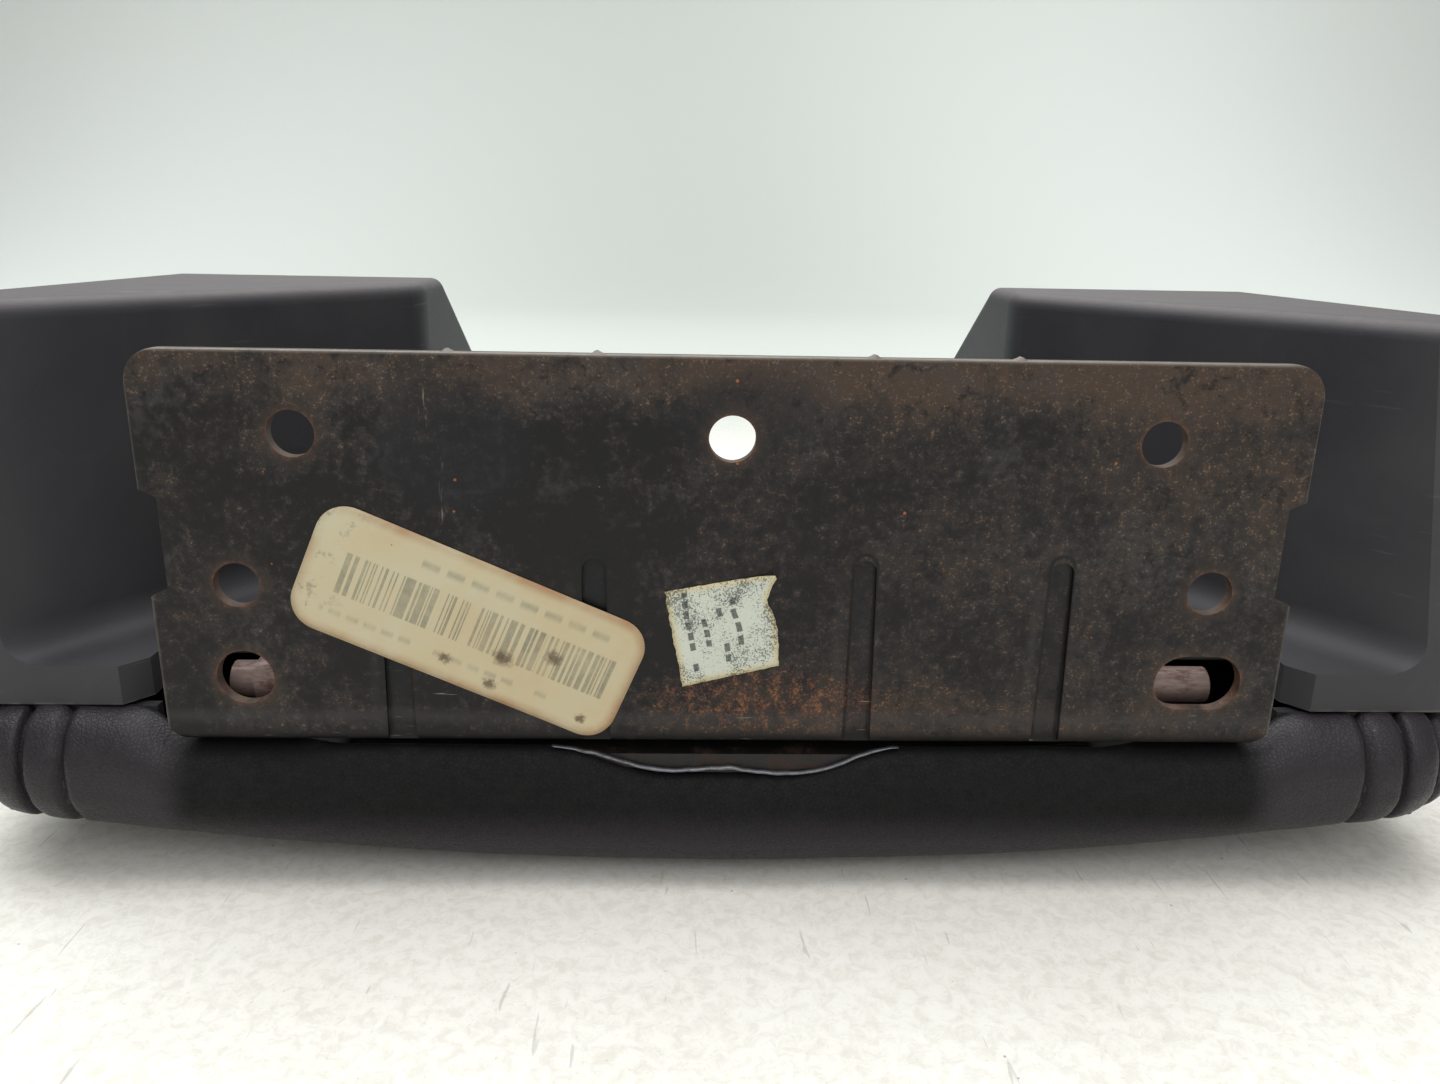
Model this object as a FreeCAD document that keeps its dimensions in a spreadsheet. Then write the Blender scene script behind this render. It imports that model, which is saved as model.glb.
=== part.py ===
"""Padded centre-console lid with its steel hinge bracket, upside down on its padded top.

X runs across the lid, Y from the hinge to the latch, Z up from the surface it lies on.
Sub-parts are drawn with Y measured from the bracket's mounting face, and datum_y in each
one's Placement brings the middle of the lid to Y = 0.
"""
import FreeCAD
import Part
import math
import os
import re

from FreeCAD import Placement, Rotation, Vector

DOC = FreeCAD.newDocument("console_lid")
SHEET = DOC.addObject("Spreadsheet::Sheet", "sizes")
NODES = []

SIZES = {
    # padded top
    "lid_width": 325, "lid_length": 258, "lid_rear": -3, "datum_y": -126,
    "pad_height": 37, "corner_radius": 24, "edge_roll": 9, "cover_skin": 1.3,
    "crown_across": 900, "crown_along": 2300, "crown_sink": 1.5, "seam_x": 134.5,
    "foam_side": 8, "tray_floor": 18, "tray_top": 36.5, "tray_wall": 2.5, "tray_roll": 7,
    "hinge_gap": 115, "rear_edge_top": 24, "latch_gap": 26, "front_edge_top": 22.5, "trough_edge_top": 30.6,
    # moulded underside
    "rim_half": 159, "rim_rear": 5, "rim_front": 249, "rim_radius": 12,
    "rim_bottom": 37.3, "ledge_top": 45.5, "mould_wall": 2.6,
    "pod_top": 116, "pod_mouth": 143.5, "pod_inner": 80, "pod_taper": 0.65,
    "pod_front": 226, "pod_slope_start": 129, "pod_slope": 31, "pod_lean": 7,
    "pod_corner": 14, "pod_edge": 4, "ledge_cove": 7,
    "trough_half": 70, "trough_top": 33.5, "well_half": 117, "well_front": 33,
    # hinge bracket
    "plate_half": 110, "plate_top": 109, "plate_bottom": 31.8, "plate_gauge": 2.5,
    "plate_round": 6.5, "side_notch": 3.3, "notch_high": 83, "notch_low": 62,
    "upper_hole_x": 81, "upper_hole_z": 93.8, "lower_hole_x": 93.7, "lower_hole_z": 64.5,
    "bolt_hole": 8.8, "locator_x": 93.9, "locator_z": 45.6, "locator_hole": 11,
    "slot_length": 17.4, "slot_width": 11.3, "bend_radius": 2.4,
    "dart_outer": 64.3, "dart_inner": 26, "dart_top": 70.5, "dart_width": 4.6, "dart_depth": 1.1,
    "flange_depth": 16, "flange_edge": 9, "ear_round": 6, "plate_ear": 77.5,
    # hinge
    "pin_y": 9, "pin_z": 41.5, "pin_radius": 3.75, "pin_half": 99.5,
    "leaf_top": 28.8, "leaf_gauge": 2.5, "leaf_rear": 1.5, "leaf_front": 44, "leaf_ear": 82.5,
    "arm_rear": 20.5, "arm_front": 28, "arm_bottom": 35.6, "bush_bore": 3.8, "bush_radius": 4.9,
    "spring_wire": 1.8, "spring_radius": 4.85, "spring_turns": 7, "spring_inner": 40,
    # fasteners, latch and stops
    "screw_head": 4, "screw_height": 2.6, "screw_shank": 1.9, "screw_length": 11,
    "boss_radius": 5, "boss_x": 58, "ledge_boss_x": 130, "ledge_boss_y": 239,
    "leaf_screw_x": 62, "leaf_screw_y": 28, "leaf_screw": 8,
    "bezel_half": 24, "bezel_rear": 240, "bezel_front": 252, "bezel_bottom": 23.5, "bezel_top": 37,
    "button_half": 19, "button_bottom": 26.5, "button_top": 34, "button_front": 253.5,
    "latch_notch": 9, "bar_half": 7, "bar_rear": 206, "bar_bottom": 34, "bar_top": 36.4, "hook_top": 42.5,
    "stop_x": 108, "stop_radius": 6.5, "stop_height": 4,
    # label and tape scrap
    "label_width": 65, "label_height": 25, "label_round": 6, "label_tilt": -21.5,
    "label_x": -50, "label_z": 57, "paper": 0.2,
}


def fill_sheet():
    """Write every driving dimension into the sheet, one aliased cell each."""
    for row, (alias, value) in enumerate(SIZES.items(), start=1):
        SHEET.set(f"A{row}", alias)
        SHEET.set(f"B{row}", str(value))
        SHEET.setAlias(f"B{row}", alias)
    DOC.recompute()


def size(alias):
    """The sheet's value for an alias."""
    return float(SHEET.get(alias))


def bound(text):
    """An expression in which each alias is read from the sheet."""
    return re.sub(r"\b([a-z]+(?:_[a-z]+)*)\b", r"sizes.\1", text)


def bind(thing, **expressions):
    """Bind properties, written with __ for a dot, to expressions on the sheet."""
    for name, text in expressions.items():
        thing.setExpression(name.replace("__", "."), bound(text))


# ---------------------------------------------------------------- sub-parts and features

def publish(thing, label, y="datum_y"):
    """Give a finished sub-part its label and its place along the lid."""
    thing.Label = label
    bind(thing, Placement__Base__y=y)
    NODES.append(thing)
    return thing


def shaped(label, shape):
    """A sub-part whose shape comes from Part's own functions."""
    thing = DOC.addObject("Part::Feature", label)
    thing.Shape = shape
    thing.Placement = Placement(Vector(0, size("datum_y"), 0), Rotation()).multiply(shape.Placement)
    thing.Label = label
    NODES.append(thing)
    return thing


def new_body(label):
    """An empty body with its place along the lid."""
    return publish(DOC.addObject("PartDesign::Body", label), label)


def new_sketch(body, role, name, geometry, lift="0"):
    """A sketch on one of the body's own origin planes, lifted along the plane's normal."""
    sketch = body.newObject("Sketcher::SketchObject", name)
    plane = [feature for feature in body.Origin.OriginFeatures if feature.Role == role][0]
    sketch.AttachmentSupport = [(plane, "")]
    sketch.MapMode = "FlatFace"
    bind(sketch, AttachmentOffset__Base__z=lift)
    sketch.addGeometry(geometry, False)
    return sketch


def grow(body, kind, sketch, name, length, **settings):
    """A Pad or a Pocket of the sketch, its length bound to the sheet."""
    feature = body.newObject("PartDesign::" + kind, name)
    feature.Profile = sketch
    bind(feature, Length=length)
    for setting, value in settings.items():
        setattr(feature, setting, value)
    sketch.Visibility = False
    return feature


def dress(body, kind, name, radius, wanted):
    """Round or bevel the edges of the body's tip for which wanted(edge) is true."""
    DOC.recompute()
    base = body.Tip
    edges = [f"Edge{i}" for i, edge in enumerate(base.Shape.Edges, start=1) if wanted(edge)]
    feature = body.newObject("PartDesign::" + kind, name)
    feature.Base = (base, edges)
    bind(feature, **{"Radius" if kind == "Fillet" else "Size": radius})
    return feature


# ---------------------------------------------------------------- outlines and edge tests

def closed(points):
    """Straight lines joining the points in a ring."""
    corners = [Vector(x, y, 0) for x, y in points]
    return [Part.LineSegment(a, b) for a, b in zip(corners, corners[1:] + corners[:1])]


def rectangle(left, low, right, high):
    """The four sides of an upright rectangle."""
    return closed([(left, low), (right, low), (right, high), (left, high)])


def ring(x, y, radius):
    """A circle in a sketch."""
    return Part.Circle(Vector(x, y, 0), Vector(0, 0, 1), radius)


def stadium(x, y, length, width):
    """A slot's outline, lying along the sketch's first axis."""
    radius, reach = width / 2, (length - width) / 2
    ends = []
    for side in (-1, 1):
        centre = ring(x + side * reach, y, radius)
        start = -math.pi / 2 if side > 0 else math.pi / 2
        ends.append(Part.ArcOfCircle(centre, start, start + math.pi))
    low, high = y - radius, y + radius
    sides = [Part.LineSegment(Vector(x - reach, v, 0), Vector(x + reach, v, 0)) for v in (low, high)]
    return ends + sides


def prism(points, low, high):
    """A flat polygon in X and Y, raised from one height to another."""
    wire = Part.makePolygon([Vector(x, y, low) for x, y in points + points[:1]])
    return Part.Face(wire).extrude(Vector(0, 0, high - low))


def block(left, rear, low, right, front, high):
    """A plain block between two corners."""
    return Part.makeBox(right - left, front - rear, high - low, Vector(left, rear, low))


def middle(edge):
    """The point half way along an edge."""
    return edge.valueAt((edge.FirstParameter + edge.LastParameter) / 2)


def upright(edge):
    """True for a straight edge along Z."""
    ends = [vertex.Point for vertex in edge.Vertexes]
    return len(ends) == 2 and math.hypot(ends[0].x - ends[1].x, ends[0].y - ends[1].y) < 0.01


def rounded(shape, radius, wanted):
    """The shape with its wanted edges rounded."""
    return shape.makeFillet(radius, [edge for edge in shape.Edges if wanted(edge)])


# ---------------------------------------------------------------- padded top

def crowned_slab(inset):
    """The padded top's outer form, shrunk by inset: rounded corners and a crowned lower face."""
    half = size("lid_width") / 2 - inset
    rear = size("lid_rear") + inset
    front = size("lid_rear") + size("lid_length") - inset
    slab = block(-half, rear, inset, half, front, size("pad_height"))
    slab = rounded(slab, size("corner_radius") - inset, upright)
    across, along = size("crown_across"), size("crown_along")
    centre = Vector(0, -size("datum_y"), along - size("crown_sink") + inset)
    crown = Part.makeTorus(along - across, across, centre, Vector(1, 0, 0))
    slab = slab.common(crown)
    side = size("edge_roll") + 9
    return rounded(slab, size("edge_roll") - inset,
                   lambda edge: not upright(edge) and edge.BoundBox.ZMax < side
                   and max(abs(middle(edge).x) / half, abs(middle(edge).y + size("datum_y")) /
                           (front + size("datum_y"))) > 0.9)


def edge_notches(below):
    """The clearances in the padded edge for hinge, trough and latch, lowered by below."""
    gap, latch, trough = size("hinge_gap"), size("latch_gap"), size("trough_half") + 4
    start, past, high = size("bezel_rear") - 6, 270, 60
    rear = block(-gap, size("lid_rear") - 5, size("rear_edge_top") - below, gap, 24, high)
    front = block(-latch, start, size("front_edge_top") - below, latch, past, high)
    middle_front = block(-trough, start, size("trough_edge_top") - below, trough, past, high)
    return rear.fuse([front, middle_front])


def tray_block(inset):
    """The hard tray's outer form, shrunk by inset and running past its open top."""
    edge = size("cover_skin") + size("foam_side") + inset
    half = size("lid_width") / 2 - edge
    rear, front = size("lid_rear") + edge, size("lid_rear") + size("lid_length") - edge
    floor = size("tray_floor") + inset
    slab = rounded(block(-half, rear, floor, half, front, size("ledge_top")),
                   size("corner_radius") - edge + inset, upright)
    return rounded(slab, size("tray_roll") - inset, lambda edge: edge.BoundBox.ZMax < floor + 0.01)


def make_cover_and_foam():
    """Leather centre and side panels, and the foam between them and the hard tray."""
    skin = size("cover_skin")
    hollow = crowned_slab(skin)
    above = block(-170, -20, size("pad_height") - 0.01, 170, 280, 60)
    leather = crowned_slab(0).cut(hollow.fuse(above))
    leather = leather.cut(edge_notches(0))
    seam = size("seam_x")
    shaped("cover_centre_panel", leather.common(block(-seam, -20, -5, seam, 280, 60)))
    for name, left, right in (("left", -180, -seam), ("right", seam, 180)):
        shaped("cover_side_panel_" + name, leather.common(block(left, -20, -5, right, 280, 60)))
    foam = hollow.cut(tray_block(0))
    foam = foam.cut(edge_notches(0.8))
    shaped("foam_pad", foam)


def screw_places():
    """Where the moulding is screwed down: (x, y, height that the head sits on)."""
    trough = [(side * size("boss_x"), y, size("trough_top")) for side in (-1, 1) for y in (52, 126, 200)]
    ledge = [(side * size("ledge_boss_x"), size("ledge_boss_y"), size("ledge_top")) for side in (-1, 1)]
    return trough + ledge


def leaf_places():
    """Where the lid-side hinge leaf is screwed to the tray."""
    return [(side * size("leaf_screw_x") / part, size("leaf_screw_y")) for side in (-1, 1) for part in (1, 3)]


def make_tray():
    """The hard tray that carries foam and cover, with its screw bosses and cross ribs."""
    above = block(-170, -20, size("tray_top"), 170, 280, 60)
    tray = tray_block(0).cut(tray_block(size("tray_wall")).fuse(above))
    floor = size("tray_floor") + size("tray_wall") - 0.5
    radius, shank = size("boss_radius"), size("screw_shank")
    gauge = {size("trough_top"): size("trough_top") - 2.5, size("ledge_top"): size("ledge_top") - 2.6}
    bosses = [(x, y, gauge[z]) for x, y, z in screw_places()]
    bosses += [(x, y, size("leaf_top") - size("leaf_gauge")) for x, y in leaf_places()]
    ribs = [block(-140, y - 1, floor, 140, y + 1, 26) for y in (70, 105, 150, 180)]
    solid = tray.fuse([Part.makeCylinder(radius, top - floor, Vector(x, y, floor)) for x, y, top in bosses] + ribs)
    pilots = [Part.makeCylinder(shank, top, Vector(x, y, floor + 0.5)) for x, y, top in bosses]
    solid = solid.cut(pilots).cut(edge_notches(1.5))
    shaped("pad_tray", solid.removeSplitter())


# ---------------------------------------------------------------- moulded underside

def pod(side, inset):
    """One tall side pod, shrunk by inset: a funnel-shaped inner wall and a sloping front."""
    inner, mouth = size("pod_inner"), size("pod_mouth")
    rear, front, outer = size("rim_rear"), size("pod_front"), size("rim_half")
    turn = rear + (mouth - inner) / size("pod_taper")
    outline = [(side * mouth, rear), (side * inner, turn), (side * inner, front),
               (side * outer, front), (side * outer, rear)]
    face = Part.Face(Part.makePolygon([Vector(x, y, 0) for x, y in outline + outline[:1]]))
    if inset:
        face = face.makeOffset2D(-inset, join=2)
    low, high = size("rim_bottom") - (1 if inset else 0), size("pod_top") - inset
    face.translate(Vector(0, 0, low))
    solid = face.extrude(Vector(0, 0, high - low))
    near = lambda x, y: lambda edge: upright(edge) and math.hypot(middle(edge).x - side * x,
                                                                  middle(edge).y - y) < 12
    solid = rounded(solid, size("pod_corner") - inset, near(inner, turn))
    solid = rounded(solid, size("rim_radius") - inset, near(outer, rear))
    slope = math.radians(size("pod_slope"))
    start, drop = size("pod_slope_start"), size("pod_top") - inset / math.cos(slope)
    run = 160
    wedge = Part.makePolygon([Vector(0, y, z) for y, z in (
        (start - 20, drop + 20 * math.tan(slope)), (start + run, drop - run * math.tan(slope)),
        (start + run, 200), (start - 20, 200), (start - 20, drop + 20 * math.tan(slope)))])
    cutter = Part.Face(wedge).extrude(Vector(400, 0, 0))
    cutter.translate(Vector(-200, 0, 0))
    return solid.cut(cutter)


def leaning_cut(inset):
    """What lies behind the pods' rear faces, which lean towards the latch."""
    lean = math.radians(size("pod_lean"))
    low, rear = size("ledge_top") + 2.5, size("rim_rear") + inset
    high = 200
    reach = rear + (high - low) * math.tan(lean)
    side = Part.makePolygon([Vector(-200, y, z) for y, z in (
        (-40, low), (rear, low), (reach, high), (-40, high), (-40, low))])
    return Part.Face(side).extrude(Vector(400, 0, 0))


def outer_pod(side):
    """A pod's outside, with its leaning rear face and its upper edges rounded."""
    def at_rim(edge):
        """True for the upper edges, but not the crease where the slope starts."""
        spot, box = middle(edge), edge.BoundBox
        crease = abs(spot.y - size("pod_slope_start")) < 1 and box.YLength < 1
        standing = box.ZLength > 30 and box.YLength < 20
        return spot.z > size("ledge_top") + 11 and not crease and not standing

    return rounded(pod(side, 0).cut(leaning_cut(0)), size("pod_edge"), at_rim)


def make_moulding():
    """The moulded underside: rim, ledge, two hollow pods, centre trough and hinge well."""
    wall, half, corner = size("mould_wall"), size("rim_half"), size("rim_radius")
    rear, front = size("rim_rear"), size("rim_front")
    low, top, trough = size("rim_bottom"), size("ledge_top"), size("trough_half")
    slab = rounded(block(-half, rear, low, half, front, top), corner, upright)
    solid = slab.fuse([outer_pod(-1), outer_pod(1)]).removeSplitter()

    def at_ledge(edge):
        """True for the foot of a pod's wall, and not for the rim's own outline."""
        spot, box = middle(edge), edge.BoundBox
        level = abs(box.ZMin - top) < 0.01 and box.ZLength < 0.01
        inside = abs(spot.x) < half - 1 and rear + 1 < spot.y < front - 1
        past = math.hypot(max(0, abs(spot.x) - half + corner), max(0, rear + corner - spot.y))
        return level and inside and past < corner - 1

    solid = rounded(solid, size("ledge_cove"), at_ledge)
    slab_hollow = rounded(block(-half + wall, rear + wall, low - 1, half - wall, front - wall, top - wall),
                          corner - wall, upright)
    hollow = slab_hollow.fuse([pod(-1, wall), pod(1, wall)]).cut(leaning_cut(wall))
    trough_shell = block(-trough - wall, size("well_front"), size("trough_top") - 2.5,
                         trough + wall, front, top)
    well = size("well_half")
    well_shell = block(-well - wall, rear, low, well + wall, size("well_front") + wall, top)
    solid = solid.cut(hollow.cut(trough_shell).cut(well_shell)).fuse(trough_shell)
    channel = block(-trough, size("well_front") + wall, size("trough_top"), trough, front + 20, 80)
    flare = [(-well - 4, -20), (-well - 4, rear), (-well, rear + 5), (-well, size("well_front"))]
    opening = prism(flare + [(-x, y) for x, y in reversed(flare)], 20, 80)
    latch = block(-size("latch_gap"), size("bezel_rear") - size("latch_notch"), 20,
                  size("latch_gap"), front + 20, 80)
    holes = [Part.makeCylinder(size("screw_shank") + 0.2, 20, Vector(x, y, z - 12)) for x, y, z in screw_places()]
    solid = solid.cut([channel, opening, latch] + holes).removeSplitter()
    shaped("moulded_underside", solid)


# ---------------------------------------------------------------- hinge bracket

def plate_outline():
    """The bracket's face: rounded upper corners and a shallow notch in each side."""
    half, top, low = size("plate_half"), size("plate_top"), size("plate_bottom")
    waist = half - size("side_notch")
    high, base, radius = size("notch_high"), size("notch_low"), size("plate_round")
    right = [(half - 3, low), (half, low + 3), (half, base), (waist, base + 1.5), (waist, high - 1.5),
             (half, high), (half, top - radius)]
    left = [(-x, z) for x, z in reversed(right)]
    lines = []
    for run in (right, left):
        points = [Vector(x, z, 0) for x, z in run]
        lines += [Part.LineSegment(a, b) for a, b in zip(points, points[1:])]
    lines.append(Part.LineSegment(Vector(half - radius, top, 0), Vector(radius - half, top, 0)))
    lines.append(Part.LineSegment(Vector(3 - half, low, 0), Vector(half - 3, low, 0)))
    lines.append(Part.ArcOfCircle(ring(half - radius, top - radius, radius), 0, math.pi / 2))
    lines.append(Part.ArcOfCircle(ring(radius - half, top - radius, radius), math.pi / 2, math.pi))
    return lines


def ear_outline(front_y):
    """A hinge ear seen from the side: a round end about the pin on an upright neck."""
    y, z, radius = size("pin_y"), size("pin_z"), size("ear_round")
    arc = Part.ArcOfCircle(ring(y, z, radius), 0, math.pi)
    foot = size("plate_bottom") + 1
    ends = [(y - radius, z), (y - radius, foot), (front_y, foot), (front_y, z)]
    points = [Vector(a, b, 0) for a, b in ends]
    return [arc] + [Part.LineSegment(a, b) for a, b in zip(points, points[1:])]


def make_plate():
    """The steel bracket: bolted face, bottom flange, stiffening darts and two pin ears."""
    body = new_body("hinge_plate")
    gauge, low = size("plate_gauge"), size("plate_bottom")
    face = new_sketch(body, "XZ_Plane", "plate_face", plate_outline())
    grow(body, "Pad", face, "plate_pad", "plate_gauge", Reversed=True)
    inner, edge = size("plate_ear") + gauge, size("plate_half") - 3
    depth, short = size("flange_depth"), size("flange_edge")
    flange = closed([(-edge, 0), (edge, 0), (edge, short), (inner, short), (inner, depth),
                     (-inner, depth), (-inner, short), (-edge, short)])
    rear = new_sketch(body, "XY_Plane", "flange_face", flange, "plate_bottom")
    grow(body, "Pad", rear, "flange_pad", "plate_gauge")
    dress(body, "Fillet", "bottom_bend", "bend_radius",
          lambda e: abs(middle(e).y) < 0.01 and abs(middle(e).z - low) < 0.01 and e.Length > 15)
    slot = size("leaf_ear") - 0.8
    slots = rectangle(slot, gauge, slot + 4.1, depth + 1) + rectangle(-slot - 4.1, gauge, -slot, depth + 1)
    arms = new_sketch(body, "XY_Plane", "arm_slots", slots, "plate_bottom")
    grow(body, "Pocket", arms, "arm_slot_cut", "plate_gauge + 3", Reversed=True)
    for name, side in (("left", -1), ("right", 1)):
        lift = "plate_ear" if side > 0 else "0 - plate_ear - plate_gauge"
        ears = new_sketch(body, "YZ_Plane", "ear_" + name, ear_outline(size("pin_y") + 6), lift)
        grow(body, "Pad", ears, "ear_pad_" + name, "plate_gauge")
    width = size("dart_width") / 2
    for name, kind, spread, length in (("raised", "Pad", 1.4, "plate_gauge + dart_depth"),
                                       ("pressed", "Pocket", 0, "dart_depth")):
        foot = low + size("bend_radius") if kind == "Pad" else low - 2
        shapes = []
        for x in (-size("dart_outer"), -size("dart_inner"), size("dart_inner"), size("dart_outer")):
            wide, high = width + spread, size("dart_top") - width
            shapes.append(Part.ArcOfCircle(ring(x, high, wide), 0, math.pi))
            ends = [(x - wide, high), (x - wide - 0.6, foot), (x + wide + 0.6, foot), (x + wide, high)]
            points = [Vector(a, b, 0) for a, b in ends]
            shapes += [Part.LineSegment(a, b) for a, b in zip(points, points[1:])]
        darts = new_sketch(body, "XZ_Plane", "dart_" + name, shapes)
        grow(body, kind, darts, "dart_feature_" + name, length, Reversed=kind == "Pad")
    bores = new_sketch(body, "YZ_Plane", "ear_bores", [ring(size("pin_y"), size("pin_z"), size("bush_radius"))])
    grow(body, "Pocket", bores, "ear_bore_cut", "lid_width", Midplane=True)
    holes = [ring(x, size("upper_hole_z"), size("bolt_hole") / 2) for x in
             (-size("upper_hole_x"), 0, size("upper_hole_x"))]
    holes += [ring(x, size("lower_hole_z"), size("bolt_hole") / 2) for x in
              (-size("lower_hole_x"), size("lower_hole_x"))]
    holes.append(ring(-size("locator_x"), size("locator_z"), size("locator_hole") / 2))
    holes += stadium(size("locator_x"), size("locator_z"), size("slot_length"), size("slot_width"))
    cut = new_sketch(body, "XZ_Plane", "plate_holes", holes)
    grow(body, "Pocket", cut, "plate_hole_cut", "plate_gauge")
    dress(body, "Fillet", "face_edge_break", "0.4",
          lambda e: abs(middle(e).y) < 0.01 and middle(e).z > size("plate_top") - 7
          and e.BoundBox.YLength < 0.01)


def make_paper():
    """The adhesive label and the torn scrap of tape on the bracket's face."""
    half_w, half_h = size("label_width") / 2, size("label_height") / 2
    tilt, radius = math.radians(size("label_tilt")), size("label_round")
    slab = block(-half_w, -size("paper"), -half_h, half_w, 0, half_h)
    slab = slab.makeFillet(radius, [edge for edge in slab.Edges if edge.BoundBox.YLength > 0.1
                                    and edge.BoundBox.XLength < 0.01])
    slab.rotate(Vector(0, 0, 0), Vector(0, -1, 0), math.degrees(tilt))
    slab.translate(Vector(size("label_x"), 0, size("label_z")))
    shaped("part_label", slab)
    corners = [(-12.4, 64.0), (8.7, 67.8), (7.9, 61.0), (9.9, 48.8), (0.5, 46.9), (-8.8, 44.4), (-11.6, 56.0)]
    wire = Part.makePolygon([Vector(x, 0, z) for x, z in corners + corners[:1]])
    shaped("tape_scrap", Part.Face(wire).extrude(Vector(0, -size("paper"), 0)))


# ---------------------------------------------------------------- lid side of the hinge

def make_leaf():
    """The lid-side steel leaf: a screwed base, a dished rear tongue and two arms to the pin."""
    body = new_body("hinge_leaf")
    rear, front, ear = size("leaf_rear"), size("leaf_front"), size("leaf_ear")
    gauge, edge = size("leaf_gauge"), size("leaf_ear") + size("leaf_gauge")
    arm = size("arm_rear")
    base = [(-edge, front), (-edge, arm), (-ear + 6, arm), (-ear + 6, rear + 6), (-40, rear + 1.5),
            (40, rear + 1.5), (ear - 6, rear + 6), (ear - 6, arm), (edge, arm), (edge, front)]
    sole = new_sketch(body, "XY_Plane", "leaf_sole", closed(base), "leaf_top - leaf_gauge")
    grow(body, "Pad", sole, "leaf_pad", "leaf_gauge")
    top, dip, side = size("leaf_top"), size("rear_edge_top") + 0.7, 33
    sag = Part.Arc(Vector(-side, top - 1, 0), Vector(0, dip, 0), Vector(side, top - 1, 0))
    rim = [(side, top - 1), (side, top), (-side, top), (-side, top - 1)]
    points = [Vector(x, z, 0) for x, z in rim]
    lines = [Part.LineSegment(a, b) for a, b in zip(points, points[1:])]
    tongue = new_sketch(body, "XZ_Plane", "tongue_face", [sag] + lines, "0 - leaf_rear - 1.6")
    grow(body, "Pad", tongue, "tongue_pad", "1.6")
    y, z, radius = size("pin_y"), size("pin_z"), size("ear_round") - 0.1
    low, reach = size("arm_bottom"), size("arm_front")
    start = -math.asin((z - low) / radius)
    lean = y + radius * math.cos(start)
    outline = [(lean, low), (arm, low), (arm, top - 1), (reach + 8, top - 1), (reach, z + radius), (y, z + radius)]
    points = [Vector(a, b, 0) for a, b in outline]
    profile = [Part.LineSegment(a, b) for a, b in zip(points, points[1:])]
    profile.append(Part.ArcOfCircle(ring(y, z, radius), math.pi / 2, 2 * math.pi + start))
    profile.append(ring(y, z, size("pin_radius")))
    for name, right in (("left", False), ("right", True)):
        lift = "leaf_ear" if right else "0 - leaf_ear - leaf_gauge"
        arms = new_sketch(body, "YZ_Plane", "arm_" + name, profile, lift)
        grow(body, "Pad", arms, "arm_pad_" + name, "leaf_gauge")
    drilled = [ring(x, y, size("screw_shank") + 0.2) for x, y in leaf_places()]
    bores = new_sketch(body, "XY_Plane", "leaf_holes", drilled, "leaf_top")
    grow(body, "Pocket", bores, "leaf_hole_cut", "leaf_gauge + 4")
    dress(body, "Fillet", "leaf_corners", "3",
          lambda e: upright(e) and abs(middle(e).x) > edge - 1 and middle(e).y > front - 1)


def bar_on_pin(name, radius, start, length):
    """A cylinder of the given radius about the pin's axis, from start along X."""
    bar = DOC.addObject("Part::Cylinder", name)
    bar.Placement = Placement(Vector(), Rotation(Vector(0, 1, 0), 90))
    bind(bar, Radius=radius, Height=length, Placement__Base__x=start,
         Placement__Base__y="pin_y", Placement__Base__z="pin_z")
    return bar


def fused(label, pieces):
    """One sub-part fused from several primitives."""
    joined = DOC.addObject("Part::MultiFuse", label)
    joined.Shapes = pieces
    joined.Refine = True
    return publish(joined, label)


def drilled(label, outer, bore):
    """One sub-part cut from a primitive."""
    cut = DOC.addObject("Part::Cut", label)
    cut.Base, cut.Tool = outer, bore
    return publish(cut, label)


def make_pin_and_bushes():
    """The hinge pin with its head, its retaining ring, and a flanged bush in each bracket ear."""
    shaft = bar_on_pin("pin_shaft", "pin_radius", "0 - pin_half", "2 * pin_half")
    head = bar_on_pin("pin_head", "pin_radius + 0.85", "0 - pin_half + 5", "8.5")
    fused("hinge_pin", [shaft, head])
    ring_out = bar_on_pin("ring_outer", "ear_round - 0.2", "leaf_ear + leaf_gauge + 0.3", "1.2")
    ring_in = bar_on_pin("ring_inner", "pin_radius", "leaf_ear", "8")
    drilled("retaining_ring", ring_out, ring_in)
    for name, start, flange in (("left", "0 - plate_ear - plate_gauge", "0 - plate_ear - plate_gauge - 1"),
                                ("right", "plate_ear", "plate_ear + plate_gauge")):
        sleeve = bar_on_pin("sleeve_" + name, "bush_radius", start, "plate_gauge")
        collar = bar_on_pin("collar_" + name, "bush_radius + 1", flange, "1")
        whole = DOC.addObject("Part::Fuse", "bush_body_" + name)
        whole.Base, whole.Tool = sleeve, collar
        bore = bar_on_pin("bush_bore_" + name, "bush_bore", "0 - lid_width / 2", "lid_width")
        drilled("hinge_bush_" + name, whole, bore)


def make_springs():
    """A torsion spring beside each inner dart, one leg on the bracket and one towards the lid."""
    wire, radius = size("spring_wire"), size("spring_radius")
    pitch, turns = wire * 1.12, size("spring_turns") + 0.25
    coil = Part.makeHelix(pitch, pitch * turns, radius)
    start, end = Vector(radius, 0, 0), Vector(0, radius, pitch * turns)
    section = Part.Wire(Part.makeCircle(wire / 2, start, Vector(0, 1, 0)))
    winding = Part.Wire(coil.Edges).makePipeShell([section], True, True)
    bracket_leg = Part.makeCylinder(wire / 2, 13, start, Vector(0, -1, 0))
    lid_leg = Part.makeCylinder(wire / 2, 9, end, Vector(-1, 0, 0))
    spring = winding.fuse([bracket_leg, lid_leg])
    spring.rotate(Vector(), Vector(0, 0, 1), -90)
    spring.rotate(Vector(), Vector(0, 1, 0), 90)
    spring.translate(Vector(size("spring_inner"), size("pin_y"), size("pin_z")))
    shaped("torsion_spring_right", spring)
    shaped("torsion_spring_left", spring.mirror(Vector(), Vector(1, 0, 0)))


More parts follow.
